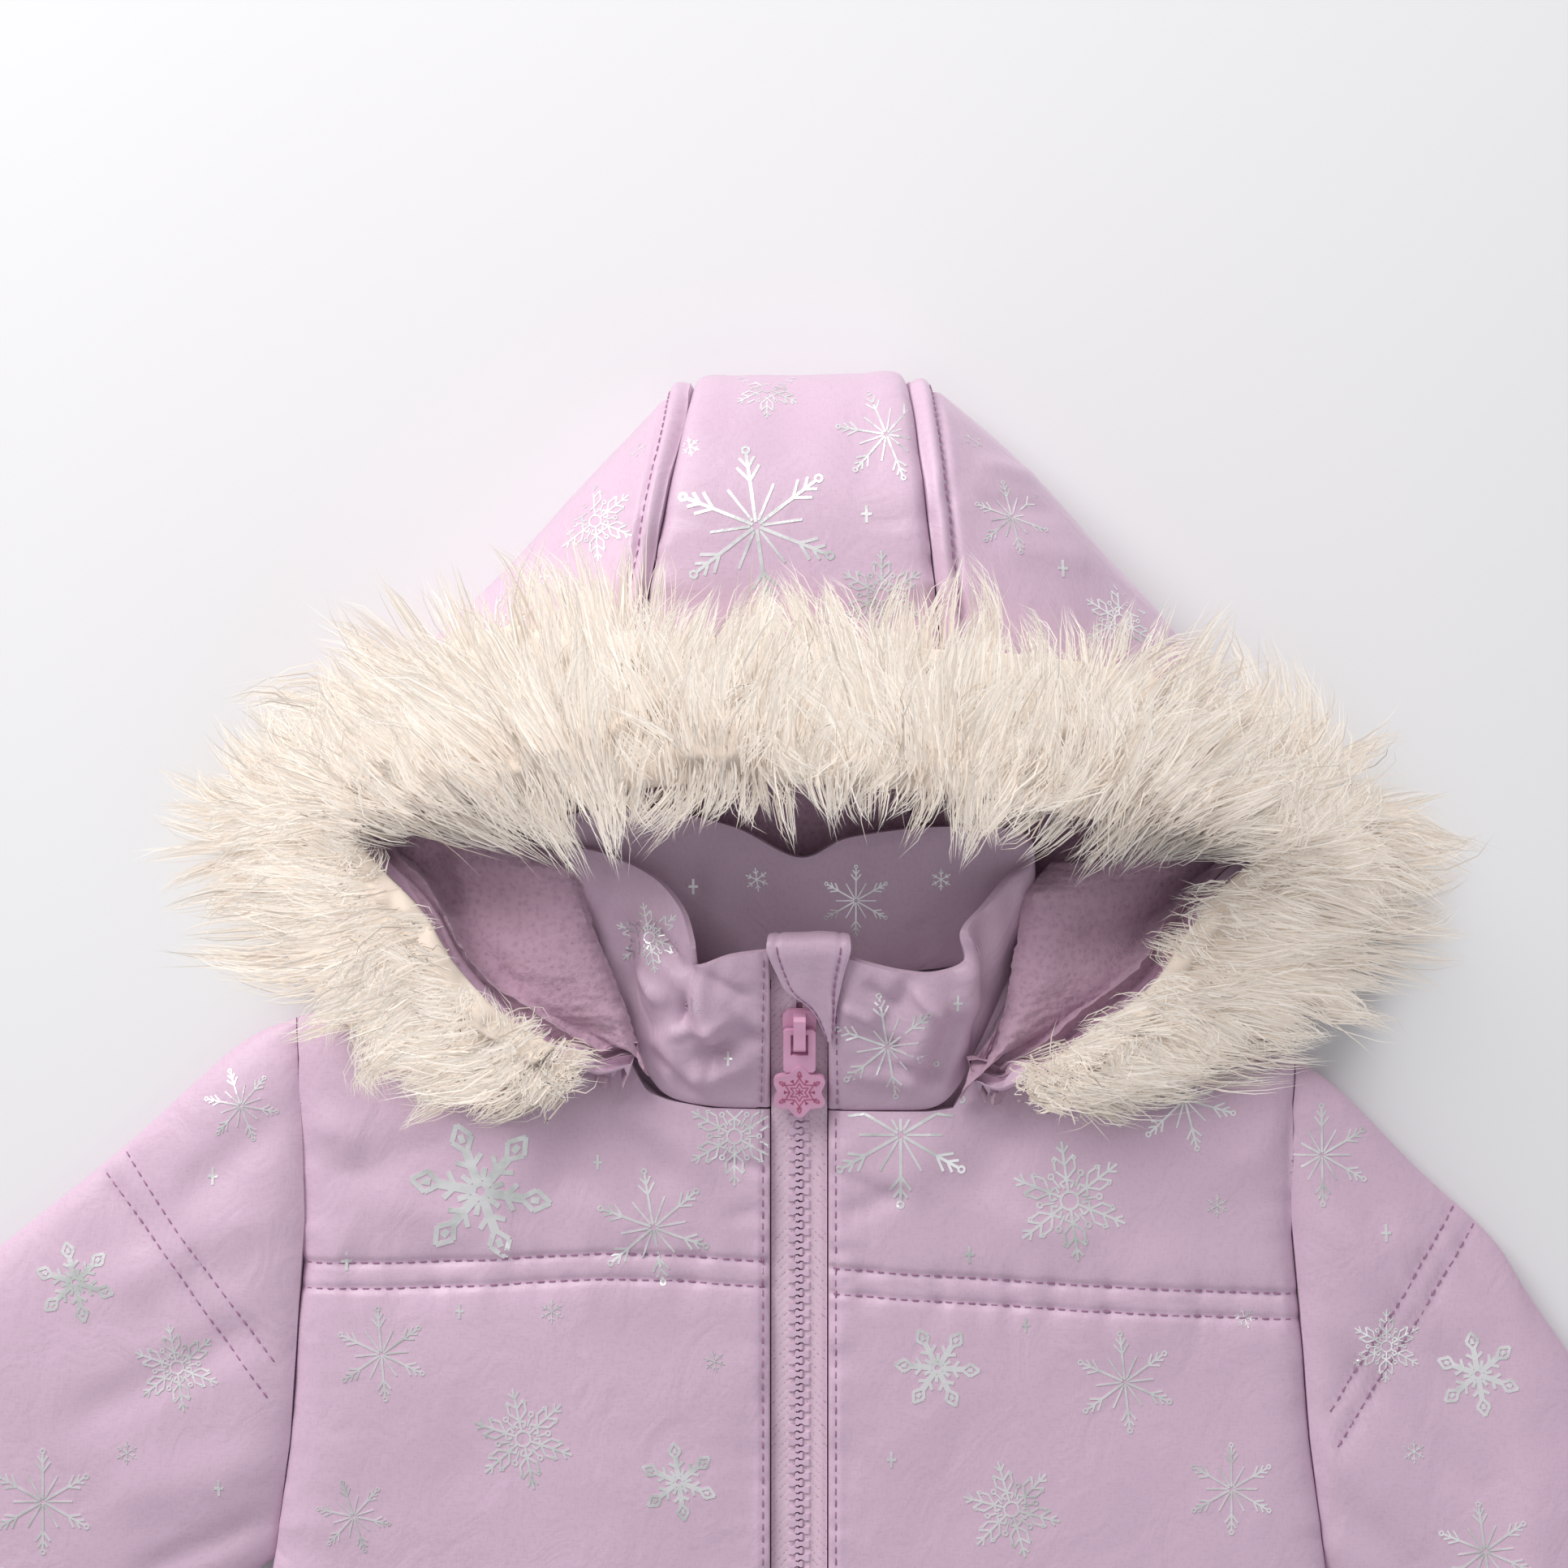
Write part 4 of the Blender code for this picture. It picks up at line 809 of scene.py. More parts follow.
# %% Measures of the hood
HOOD_WALL, LINING_WALL = 3.5, 3.0
HOOD = (
    # neck x, y, z; fold x, y, z; turn; crest run, z; face x, y, z; fur tip x, y, z; pile
    (-47.0, 138.5, 16.8, -46.3, 125.0, 16.8, 8.6, 1.2, 26, -46.2, 126.2, 25, -53, 124, 24, 5),
    (-52.3, 144.5, 16.8, -57.0, 129.5, 16.8, 8.6, 1.2, 28, -56.5, 130.6, 28, -68, 120, 17.5, 11),
    (-56.5, 151.5, 16.8, -69.5, 136.0, 16.8, 8.6, 1.2, 33, -68.7, 136.9, 33, -93, 117, 17.5, 13),
    (-62.0, 158.5, 16.8, -84.0, 145.5, 16.8, 8.6, 1.2, 34, -83.0, 146.1, 34, -123, 129, 17.5, 14),
    (-66.5, 164.0, 16.6, -97.5, 160.0, 14.5, 8.6, 1.2, 32, -96.3, 160.2, 32, -146, 148, 15, 14),
    (-67.0, 170.0, 9.0, -107.0, 175.5, 4.0, 8.6, 1.2, 26, -105.8, 175.3, 26, -162, 165, 3, 14),
    (-65.0, 175.0, 3.0, -120.0, 188.0, 0.0, 8.6, 1.5, 21, -118.6, 187.7, 21, -173, 183, 3, 15),
    (-61.5, 178.0, 0.8, -131.0, 200.0, 0.0, 8.8, 4.0, 22, -127.0, 199.0, 22, -175, 204, 6, 16),
    (-56.0, 178.5, 0.0, -132.0, 219.0, 0.0, 9.5, 18.0, 32, -111.0, 205.0, 31, -159, 228, 13, 18),
    (-50.0, 176.0, 0.0, -110.0, 246.0, 0.0, 11.0, 34.0, 48, -88.0, 210.0, 47, -129, 253, 27, 20),
    (-44.0, 172.5, 0.0, -80.0, 276.0, 0.0, 12.0, 50.0, 58, -66.0, 214.0, 57, -93, 266, 44, 22),
    (-38.0, 169.0, 0.0, -50.0, 308.0, 0.0, 12.0, 60.0, 62, -56.0, 217.0, 60, -67, 267, 58, 22),
    (-32.0, 167.0, 0.0, -31.0, 325.6, 0.0, 12.0, 62.0, 63, -48.0, 218.0, 61, -50, 265, 62, 23),
    (-16.0, 164.0, 0.0, -16.0, 326.8, 0.0, 12.0, 62.0, 64, -24.0, 220.0, 62, -24, 262, 64, 23),
    (0.0, 164.0, 0.0, 0.0, 326.6, 0.0, 12.0, 62.0, 64, -2.0, 220.0, 62, -2, 260, 64, 23),
    (16.0, 164.0, 0.0, 16.0, 326.8, 0.0, 12.0, 62.0, 64, 20.0, 219.0, 62, 20, 259, 64, 23),
    (32.0, 167.0, 0.0, 31.0, 326.4, 0.0, 12.0, 62.0, 63, 41.0, 217.0, 61, 43, 258, 62, 23),
    (38.0, 168.0, 0.0, 52.0, 311.5, 0.0, 12.0, 60.0, 62, 51.0, 216.0, 60, 62, 257, 58, 22),
    (44.0, 170.5, 0.0, 82.0, 281.0, 0.0, 12.0, 50.0, 58, 68.0, 212.0, 57, 88, 254, 44, 22),
    (50.0, 173.0, 0.0, 112.0, 247.0, 0.0, 11.0, 34.0, 48, 92.0, 207.0, 47, 121, 246, 27, 20),
    (56.0, 174.5, 0.0, 136.0, 215.0, 0.0, 9.5, 18.0, 32, 115.0, 201.0, 31, 157, 227, 13, 18),
    (61.5, 173.5, 0.8, 134.0, 193.5, 0.0, 8.8, 4.0, 22, 130.0, 192.4, 22, 181, 198, 6, 16),
    (65.5, 170.0, 3.0, 121.5, 183.0, 0.0, 8.6, 1.5, 21, 120.2, 182.7, 21, 181, 176, 3, 15),
    (67.5, 165.0, 9.0, 110.0, 170.0, 4.0, 8.6, 1.2, 26, 108.8, 169.8, 26, 173, 159, 3, 14),
    (67.0, 159.5, 16.6, 100.0, 155.0, 14.5, 8.6, 1.2, 32, 98.8, 155.2, 32, 152, 143, 15, 14),
    (62.5, 153.8, 16.8, 84.0, 142.0, 16.8, 8.6, 1.2, 34, 83.0, 142.6, 34, 127, 131, 17.5, 14),
    (57.5, 146.5, 16.8, 69.5, 131.0, 16.8, 8.6, 1.2, 33, 68.7, 131.9, 33, 97, 119, 17.5, 13),
    (53.8, 140.0, 16.8, 57.0, 125.0, 16.8, 8.6, 1.2, 28, 56.5, 126.1, 28, 71, 117.5, 17.5, 11),
    (49.5, 134.0, 16.8, 48.5, 120.5, 16.8, 8.6, 1.2, 26, 48.4, 121.7, 25, 55, 119, 24, 5),
)
HOOD_LAST = len(HOOD) - 1
SEAM_LEFT, SEAM_RIGHT = 12, 16
LOWER_END, TURN_END = 0.28, 0.38   # shares of a section that lie on the table and turn up
LOWER_STEPS, TURN_STEPS, UPPER_STEPS = 24, 12, 84
HOOD_PATH = np.unique(np.concatenate([
    np.linspace(0.0, LOWER_END, LOWER_STEPS + 1), np.linspace(LOWER_END, TURN_END, TURN_STEPS + 1),
    np.linspace(TURN_END, 1.0, UPPER_STEPS + 1)]))
HOOD_END = 0.05           # the panels end this short of the last sections
HOOD_TAPER = 1.1          # sections over which the hood's ends narrow
ROW_AWAY = 7.2            # from a hood seam to its row of stitches
TRIM = 0.015              # half a seam's gap, in section numbers
HOOD_FOLDS = (
    (-30.0, 300.0, -26.0, 262.0, 9.0, 0.5), (20.0, 310.0, 16.0, 268.0, 11.0, -0.8),
    (0.0, 322.0, -6.0, 296.0, 9.0, -0.6), (34.0, 300.0, 30.0, 268.0, 5.0, 0.6),
    (50.0, 300.0, 66.0, 296.0, 2.6, 0.9), (50.0, 288.0, 72.0, 286.0, 3.0, -0.8),
    (54.0, 276.0, 82.0, 272.0, 4.0, 0.7), (-52.0, 296.0, -66.0, 286.0, 4.0, 0.6),
    (-50.0, 280.0, -72.0, 270.0, 4.0, -0.6))


# %% Hood surface
def hood_surface(where, path):
    """Outer face of the hood: a row of points for each section number in where, at the shares in
    path. A section is straight along the table, then a quarter circle, then an ellipse up to its
    crest, then level to the face edge. Both ends of the hood run to a narrow tip at the neck."""
    read = along(HOOD, where)[:, None, :]
    neck, fold, face = read[..., 0:3], read[..., 3:6], read[..., 9:12]
    turn, run, crest = read[..., 6], read[..., 7], read[..., 8]
    share = np.asarray(path)[None, :, None]
    inward = unit((neck - fold)[..., :2])
    toward = (face - fold)[..., :2]
    reach = np.linalg.norm(toward, axis=2, keepdims=True)
    toward = toward / reach
    foot = fold[..., :2] + inward * turn[..., None]
    lower = np.clip(share / LOWER_END, 0.0, 1.0)
    low_plan = neck[..., :2] + (foot - neck[..., :2]) * lower
    low_z = neck[..., 2:] + (fold[..., 2:] - neck[..., 2:]) * smooth_step(lower)
    angle = np.clip((share - LOWER_END) / (TURN_END - LOWER_END), 0.0, 1.0) * math.pi / 2
    turn_plan = fold[..., :2] + inward * turn[..., None] * (1.0 - np.sin(angle))
    turn_z = fold[..., 2:] + turn[..., None] * (1.0 - np.cos(angle))
    distance = reach * np.clip((share - TURN_END) / (1.0 - TURN_END), 0.0, 1.0) ** 1.6
    climb = np.clip(distance / run[..., None], 0.0, 1.0)
    start = fold[..., 2:] + turn[..., None]
    high_z = start + (crest[..., None] - start) * np.sqrt(1.0 - (1.0 - climb) ** 2)
    sink = np.clip((distance - run[..., None]) / np.maximum(reach - run[..., None], 0.01), 0, 1)
    high_z = high_z + (face[..., 2:] - crest[..., None]) * sink
    high_plan = fold[..., :2] + toward * distance
    plan = np.where(share <= LOWER_END, low_plan, np.where(share <= TURN_END, turn_plan,
                                                           high_plan))
    height = np.where(share <= LOWER_END, low_z, np.where(share <= TURN_END, turn_z, high_z))
    points = np.concatenate([plan, height], axis=-1)
    where = np.asarray(where, float)
    kept = 0.5 + 0.5 * smooth_step(np.minimum(where, HOOD_LAST - where) / HOOD_TAPER)
    points[..., :2] = neck[..., :2] + (points[..., :2] - neck[..., :2]) * kept[:, None, None]
    return points


def into_hood(where, path):
    """Unit normals of the hood's outer face that point into the hood."""
    step = 0.02
    along_rows = hood_surface(where + step, path) - hood_surface(where - step, path)
    along_path = np.gradient(hood_surface(where, path), axis=1)
    return unit(np.cross(along_rows, along_path))


def hood_detail(skin, from_seam, panel_side):
    """What the sewing adds to the hood's face: a dip at the seam and another at the row of
    stitches, a swelling between, puckers that run across both, and soft lumps. from_seam is the
    distance from the nearest seam in millimetres along the cloth."""
    x, y, z = skin[..., 0], skin[..., 1], skin[..., 2]
    detail = 0.8 * lumps(x, y + z, 38.0, 41) + fold_heights(x, y, HOOD_FOLDS)
    detail = detail - 1.7 * bell(from_seam, 1.6) - 0.6 * np.exp(-from_seam / 7.0)
    pucker = lumps(from_seam / 4.0, (y + z) * 0.9 + panel_side * 31.0, 6.0, 43)
    detail = detail + 1.15 * pucker * np.exp(-from_seam / 8.0)
    if panel_side != 0:
        detail = detail - 1.2 * bell(from_seam - ROW_AWAY, 1.3)
        detail = detail + 1.0 * bell(from_seam - ROW_AWAY / 2, 2.0)
    return detail


def seam_distance(skin, seam_row):
    """Distance along the cloth from the panel's edge at the seam."""
    gone = distance_along(skin)
    return gone if seam_row == 0 else gone[-1] - gone


def hood_panel(name, start, end, rows, panel_side):
    """The piece and its outer face. A side panel's rows crowd towards its seam."""
    where = np.linspace(start + TRIM, end - TRIM, rows + 1)
    if panel_side:
        ease = np.linspace(0.0, 1.0, rows + 1)
        ease = ease ** 1.25 if panel_side > 0 else 1.0 - (1.0 - ease) ** 1.25
        where = start + TRIM + (end - start - 2 * TRIM) * ease
    skin, inner = hood_surface(where, HOOD_PATH), into_hood(where, HOOD_PATH)
    if panel_side:
        away = seam_distance(skin, 0 if panel_side > 0 else -1)
    else:
        away = np.minimum(seam_distance(skin, 0), seam_distance(skin, -1))
    loose = smooth_step((HOOD_PATH - LOWER_END) / 0.1)[None, :]
    detail = hood_detail(skin, away, panel_side) * loose
    if start < 1 or end > HOOD_LAST - 1:     # flat where the hood lies on the shoulders
        tip = np.minimum(where, HOOD_LAST - where)
        detail = detail * smooth_step((tip - 2.0) / 4.0)[:, None]
    outer = skin - inner * detail[..., None]
    under = (skin + inner * HOOD_WALL)[::COARSE, ::COARSE]
    return panel(name, outer, under, SATIN, cloth_layout(skin)), outer


SIDE_ROWS, CENTRE_ROWS = 184, 52
HOOD_LEFT, LEFT_SKIN = hood_panel("hood_left_cloth", HOOD_END, SEAM_LEFT, SIDE_ROWS, -1)
HOOD_CENTRE, _ = hood_panel("hood_centre_cloth", SEAM_LEFT, SEAM_RIGHT, CENTRE_ROWS, 0)
HOOD_RIGHT, RIGHT_SKIN = hood_panel("hood_right_cloth", SEAM_RIGHT, HOOD_LAST - HOOD_END,
                                    SIDE_ROWS, 1)
for piece, node in ((HOOD_LEFT, "hood_left"), (HOOD_CENTRE, "hood_centre"),
                    (HOOD_RIGHT, "hood_right")):
    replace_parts(piece, node)


# %% [markdown]
# ## Fleece lining
# The lining follows the hood a few millimetres further in, and its free face is the inner one.
# Beside the collar the fleece is loose: it swells into a soft lobe that rolls over the collar's
# edge. There the lower part of each section leaves the hood, runs out to the lobe's edge and comes
# back over it as a dome.
#
# Short curls are too small to model one by one, so the mesh carries soft crumbs of about three
# millimetres, and the material adds the finest ones.

# %% Lining panels
FLEECE_FOLDS = ((-103.4, 194.6, -96.4, 173.0, 3.0, -2.4), (-96.4, 173.0, -80.0, 153.0, 3.0, -2.2),
                (-99.0, 190.0, -90.0, 172.0, 4.0, 0.8))
LOBE = {  # section number: edge x, y, z and how much of the lobe there is
    0: (-42.0, 128.0, 22.0, 1.0), 1: (-45.5, 138.0, 24.0, 1.0), 2: (-48.5, 148.0, 25.0, 1.0),
    3: (-52.0, 157.0, 26.0, 1.0), 4: (-56.0, 167.0, 26.0, 1.0), 5: (-59.5, 177.0, 27.0, 1.0),
    6: (-63.0, 188.0, 27.0, 1.0), 7: (-66.0, 199.0, 27.0, 0.7), 9: (-66.0, 202.0, 27.0, 0.0),
    19: (68.0, 200.0, 27.0, 0.0), 21: (67.0, 192.0, 27.0, 0.7), 22: (63.5, 180.0, 26.5, 1.0),
    23: (61.5, 168.0, 26.0, 1.0), 24: (59.5, 158.0, 26.0, 1.0), 25: (57.5, 148.0, 26.0, 1.0),
    26: (55.0, 137.5, 25.0, 1.0), 27: (49.5, 128.5, 23.5, 1.0), 28: (44.5, 121.5, 22.0, 1.0)}
LOBE_CURL, LOBE_DOME, LOBE_ROLL = 0.3, 4.6, 3.0


def with_lobe(face, where, path):
    """The face with its lobe. In the lower part of a section, the first share of the way is the
    curl from the neck to the lobe's edge, a quarter of a circle seen from the end, and the rest
    comes back over the dome: a straight line plus a quarter ellipse that flattens out."""
    rows = np.array(sorted(LOBE))
    table = np.array([LOBE[row] for row in rows])
    edge = np.stack([np.interp(where, rows, column) for column in table.T], axis=-1)
    tip, amount = edge[:, None, :3], edge[:, None, 3:]
    lower = path / LOWER_END
    neck, foot = face[:, :1], face[:, [np.searchsorted(path, LOWER_END)]]
    out = np.clip(lower / LOBE_CURL, 0.0, 1.0)[None, :, None]
    back = np.clip((lower - LOBE_CURL) / (1.0 - LOBE_CURL), 0.0, 1.0)[None, :, None]
    curl = neck + (tip - neck) * np.sin(out * math.pi / 2)
    curl[..., 2:] = neck[..., 2:] + (tip[..., 2:] - LOBE_ROLL - neck[..., 2:]) * out
    dome = tip + (foot - tip) * back
    rise = np.sqrt(1.0 - (1.0 - np.clip(back / 0.4, 0.0, 1.0)) ** 2)
    dome[..., 2:] += (LOBE_ROLL + LOBE_DOME * (1.0 - back ** 2)) * rise - LOBE_ROLL
    lobe = np.where((lower <= LOBE_CURL)[None, :, None], curl, dome)
    share = amount * (path <= LOWER_END)[None, :, None]
    return face + (lobe - face) * share


def lining_panel(name, start, end, rows):
    """The inner face is the fine one: crumbs push it further into the hood."""
    where = np.linspace(start + TRIM, end - TRIM, rows + 1)
    path = np.concatenate([np.linspace(0.0, LOWER_END, LOWER_STEPS + 1),
                           HOOD_PATH[LOWER_STEPS + 2::2]])
    skin, inner = hood_surface(where, path), into_hood(where, path)
    depth = HOOD_WALL + SEAM_GAP
    face = with_lobe(skin + inner * (depth + LINING_WALL), where, path)
    free = np.where((path <= LOWER_END)[None, :, None], outward(face), inner)
    layout = cloth_layout(face)
    u, v = layout[..., 0] / MM, layout[..., 1] / MM
    crumbs = 0.38 * lumps(u, v, 2.6, 51) + 0.6 * lumps(u, v, 14.0, 53)
    crumbs = crumbs + fold_heights(face[..., 0], face[..., 1], FLEECE_FOLDS)
    outer = face + free * crumbs[..., None]
    under = (skin + inner * depth)[::COARSE, ::COARSE]
    return panel(name, outer, under, FLEECE, layout)


LINING_LEFT = lining_panel("lining_left_fleece", HOOD_END, SEAM_LEFT, 192)
LINING_CENTRE = lining_panel("lining_centre_fleece", SEAM_LEFT, SEAM_RIGHT, 40)
LINING_RIGHT = lining_panel("lining_right_fleece", SEAM_RIGHT, HOOD_LAST - HOOD_END, 192)
for piece, node in ((LINING_LEFT, "lining_left"), (LINING_CENTRE, "lining_centre"),
                    (LINING_RIGHT, "lining_right")):
    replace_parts(piece, node)


# %% [markdown]
# ## Collar
# A padded band stands on the neck seam, squashed into a C that opens at the zip. Its section
# bulges between seam and rim. It is the most crumpled cloth on the coat: short folds run from the
# zip and from the corners, and the rim waves.

# %% Collar band
COLLAR_WALL, COLLAR_BOW = 3.6, 1.6
COLLAR = (
    # base x, y, z, rim x, y, z
    (-8.3, 119.9, 13.8, -8.3, 165.0, 36.0), (-24.0, 120.4, 13.8, -19.0, 163.5, 36.0),
    (-36.0, 123.0, 14.0, -29.0, 160.5, 35.0), (-42.0, 129.0, 14.0, -30.0, 168.0, 34.0),
    (-46.0, 137.0, 14.0, -33.0, 177.0, 31.0), (-50.0, 146.0, 13.5, -41.0, 185.5, 27.5),
    (-55.0, 154.5, 13.0, -54.0, 191.5, 24.0), (-57.0, 161.0, 12.5, -66.0, 195.0, 21.5),
    (-52.0, 164.0, 11.0, -65.0, 202.5, 19.5), (-38.0, 159.5, 9.6, -40.0, 203.5, 18.5),
    (-18.0, 156.5, 9.6, -18.5, 199.0, 18.0), (0.0, 155.5, 9.6, 0.0, 190.5, 18.0),
    (18.0, 156.5, 9.6, 14.0, 196.0, 18.0), (36.0, 158.5, 9.6, 38.0, 199.0, 18.5),
    (51.0, 160.0, 11.0, 61.5, 198.0, 19.5), (57.0, 156.5, 12.5, 65.0, 190.5, 21.5),
    (55.0, 149.0, 13.0, 58.0, 184.5, 24.5), (51.5, 141.0, 13.5, 51.5, 177.0, 29.0),
    (47.5, 133.0, 14.0, 45.5, 170.0, 33.0), (43.5, 125.0, 14.0, 46.0, 162.0, 35.0),
    (37.0, 120.0, 14.0, 36.0, 158.5, 36.5), (24.0, 119.4, 13.8, 22.0, 160.5, 36.5),
    (8.3, 119.4, 13.8, 8.3, 165.0, 36.5))
COLLAR_FOLDS = (
    (-41.0, 172.0, -31.0, 158.0, 1.8, -1.6), (-46.0, 160.0, -37.0, 150.0, 1.8, 1.2),
    (-36.0, 141.0, -20.0, 146.0, 1.6, 1.1), (-26.0, 158.0, -14.0, 152.0, 1.6, -1.0),
    (-27.0, 128.0, -20.0, 140.0, 1.8, -0.9), (-40.0, 136.0, -28.0, 122.0, 1.8, -1.1),
    (30.0, 156.0, 41.0, 147.0, 1.7, 1.3), (18.0, 156.0, 27.0, 149.0, 1.6, -1.0),
    (28.0, 133.0, 40.0, 128.0, 1.8, -1.1), (12.0, 150.0, 22.0, 145.0, 1.5, 0.9),
    (-34.0, 162.0, -24.0, 138.0, 3.2, 2.0), (-29.0, 164.0, -33.0, 144.0, 2.4, -2.2),
    (-30.0, 134.0, -12.0, 141.0, 2.6, -1.4), (-32.0, 128.0, -14.0, 133.0, 2.8, 1.3),
    (-36.0, 150.0, -22.0, 130.0, 2.8, -1.2), (-18.0, 150.0, -9.0, 143.0, 2.2, 0.9),
    (-20.0, 144.0, -9.0, 138.5, 1.8, -0.9), (-40.0, 142.0, -33.0, 128.0, 3.0, 1.0),
    (-44.0, 168.0, -38.0, 146.0, 4.0, 1.2), (-50.0, 176.0, -46.0, 152.0, 3.2, -1.2),
    (33.0, 160.0, 22.0, 142.0, 3.0, -1.4), (40.0, 154.0, 30.0, 132.0, 3.6, 1.2),
    (44.0, 146.0, 36.0, 126.0, 3.0, -1.2), (12.0, 142.0, 30.0, 138.0, 2.4, -0.7),
    (14.0, 131.0, 34.0, 127.0, 2.6, 0.8), (46.0, 168.0, 45.0, 146.0, 3.0, 1.4),
    (52.0, 176.0, 50.0, 152.0, 3.0, -1.2))
COLLAR_LAST = len(COLLAR) - 1.0
SECTION_STEP = 15.5       # mean distance of two sections


def collar_middle(where, levels):
    """Middle of the band: from the seam to the rim along each row, bowed outwards as a sine."""
    read = along(COLLAR, where)
    base, rim = read[:, None, :3], read[:, None, 3:]
    middle = base + (rim - base) * levels[None, :, None]
    normal = unit(np.cross(np.gradient(middle, axis=1), np.gradient(middle, axis=0)))
    return middle + normal * (COLLAR_BOW * np.sin(math.pi * levels))[None, :, None], normal


def make_collar():
    """Both faces are fine, because the outside shows in front and the inside at the back. The
    thickness closes in a round over the rim."""
    where = np.linspace(0.0, COLLAR_LAST, 265)
    levels = np.linspace(0.0, 1.0, 33)
    middle, normal = collar_middle(where, levels)
    x, y = middle[..., 0], middle[..., 1]
    from_zip = np.minimum(where, COLLAR_LAST - where)[:, None]
    front = smooth_step((9.0 - from_zip) / 3.0)
    hold = np.sqrt(np.clip(1.0 - ((levels - 0.5) / 0.52) ** 8, 0.05, 1.0))[None, :]
    quiet = smooth_step(levels / 0.12) * smooth_step((1.04 - levels) / 0.12)
    folds = 1.8 * fold_heights(x, y, COLLAR_FOLDS) * front + 1.1 * lumps(x, y / 2.0, 9.0, 61)
    zip_side = from_zip * SECTION_STEP
    folds = folds * quiet[None, :] * smooth_step(zip_side / 8.0 + 0.15)
    groove = 0.6 * bell(zip_side - 3.4, 0.9) + 1.0 * np.exp(-zip_side / 1.5)
    groove = groove - 0.3 * np.exp(-levels[None, :] * 48.0 / 3.0)
    rear = 1.4 * np.sin(math.pi * levels)[None, :] * (1.0 - front)
    half = COLLAR_WALL / 2 * hold[..., None]
    outer = middle + normal * (half + (folds - groove)[..., None])
    inner = middle - normal * (half - 0.45 * folds[..., None] + rear[..., None])
    return panel("collar_cloth", outer, inner, SATIN, cloth_layout(middle), sharp=60.0)


COLLAR_PIECE = make_collar()
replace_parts(COLLAR_PIECE, "collar")

# %% [markdown]
# ## Chin guard
# A tab of doubled satin is folded over the top of the zip, so that the slider can't pinch a chin.
# It is a short loft over the rim, pointed below, with a row of stitches along its free edge.

# %% Chin guard
GUARD_WALL, GUARD_WIDTH, GUARD_STEP = 1.4, 20.0, 6.0   # the last is a section's mean length
GUARD = (  # y, z, left x, right x
    (169.0, 33.0, -7.0, 12.5), (169.2, 37.2, -8.4, 13.6), (167.6, 40.4, -9.0, 14.0),
    (164.6, 41.0, -9.0, 14.0), (159.0, 38.3, -6.6, 12.4), (153.5, 35.6, -3.6, 11.2),
    (149.6, 33.7, 1.8, 10.4), (146.2, 32.1, 4.6, 10.0), (143.0, 30.5, 6.2, 9.7),
    (139.2, 28.6, 7.8, 9.2))


def guard_point(where, across, lift):
    """A point of the guard: along its bent path, across between its two edges, and lifted along
    the path's normal."""
    read, ahead = along(GUARD, where), along(GUARD, np.minimum(where + 0.01, len(GUARD) - 1))
    back = along(GUARD, np.maximum(where - 0.01, 0.0))
    tangent = unit((ahead - back)[:, :2])
    normal = np.column_stack([tangent[:, 1], -tangent[:, 0]])
    x = read[:, 2:3] + (read[:, 3:4] - read[:, 2:3]) * across
    moved = read[:, None, :2] + normal[:, None, :] * lift[..., None]
    return np.stack([x, moved[..., 0], moved[..., 1]], axis=-1)


def make_guard():
    where, across = np.linspace(0.0, len(GUARD) - 1.0, 81), np.linspace(0.0, 1.0, 33)
    from_edge = np.minimum(across, 1.0 - across)[None, :]
    lift = GUARD_WALL / 2 * np.clip(from_edge * 14.0, 0.25, 1.0) ** 0.5
    u, v = np.meshgrid(across * GUARD_WIDTH, where * GUARD_STEP)
    lift = lift + 0.35 * lumps(u, v / 2.0, 7.0, 71) * smooth_step(from_edge * 6.0)
    lift = lift - 0.45 * bell(from_edge - 0.11, 0.035)
    outer = guard_point(where, across, lift)
    under = guard_point(where, across, np.full_like(lift, -GUARD_WALL / 2))[::COARSE, ::COARSE]
    return panel("chin_guard_cloth", outer, under, SATIN, cloth_layout(outer))


GUARD_PIECE = make_guard()
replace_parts(GUARD_PIECE, "chin_guard")


# %% [markdown]
# ## Fur trim
# The trim is a strip of long-haired pile fabric. Its outer hairs sweep out over the hood, its
# inner hairs hang over the opening. A particle system would be gone from an exported mesh, so
# each hair is a slim three-sided spike of its own. Hairs come in locks: all the hairs of a lock
# start side by side and run together at the tip. First comes the space that the pile fills, as a
# grid that is read at any place; the same grid gives the dense base that shows between the hairs.

# %% Space of the pile
FUR_START, FUR_CORNER_LEFT, FUR_CORNER_RIGHT, FUR_END = 1, 7, 21, 27
FUR_THIN, FUR_OVERHANG, FUR_LIP, FUR_LIFT = 2.5, 11.0, 3.4, 2.4
FUR_TOP_FIRST, FUR_TOP_LAST = 6.0, 22.0   # sections of the strip over the hood's face
FUR_ROWS = np.linspace(FUR_START, FUR_END, 209)
FUR_PARTS = np.linspace(0.0, 1.0, 25)


def top_share(where, fade):
    """1 on the strip over the hood's face, 0 on the two strips beside the fleece."""
    return (smooth_step((where - FUR_TOP_FIRST) / fade)
            * smooth_step((FUR_TOP_LAST - where) / fade))


def hood_top(places, clear=1.2, near=5.5):
    """Height that clears the hood at each place: its highest point nearby, and some air."""
    sections = np.linspace(0.0, HOOD_LAST, 10 * HOOD_LAST)
    x, y, z = hood_surface(sections, HOOD_PATH[LOWER_STEPS + 10::4]).reshape(-1, 3).T
    heights = []
    for start in range(0, len(places), 500):
        block = places[start:start + 500]
        away = np.hypot(block[:, :1] - x, block[:, 1:2] - y)
        heights.append(np.where(away < near, z + clear, 0.0).max(axis=1))
    return np.concatenate(heights)


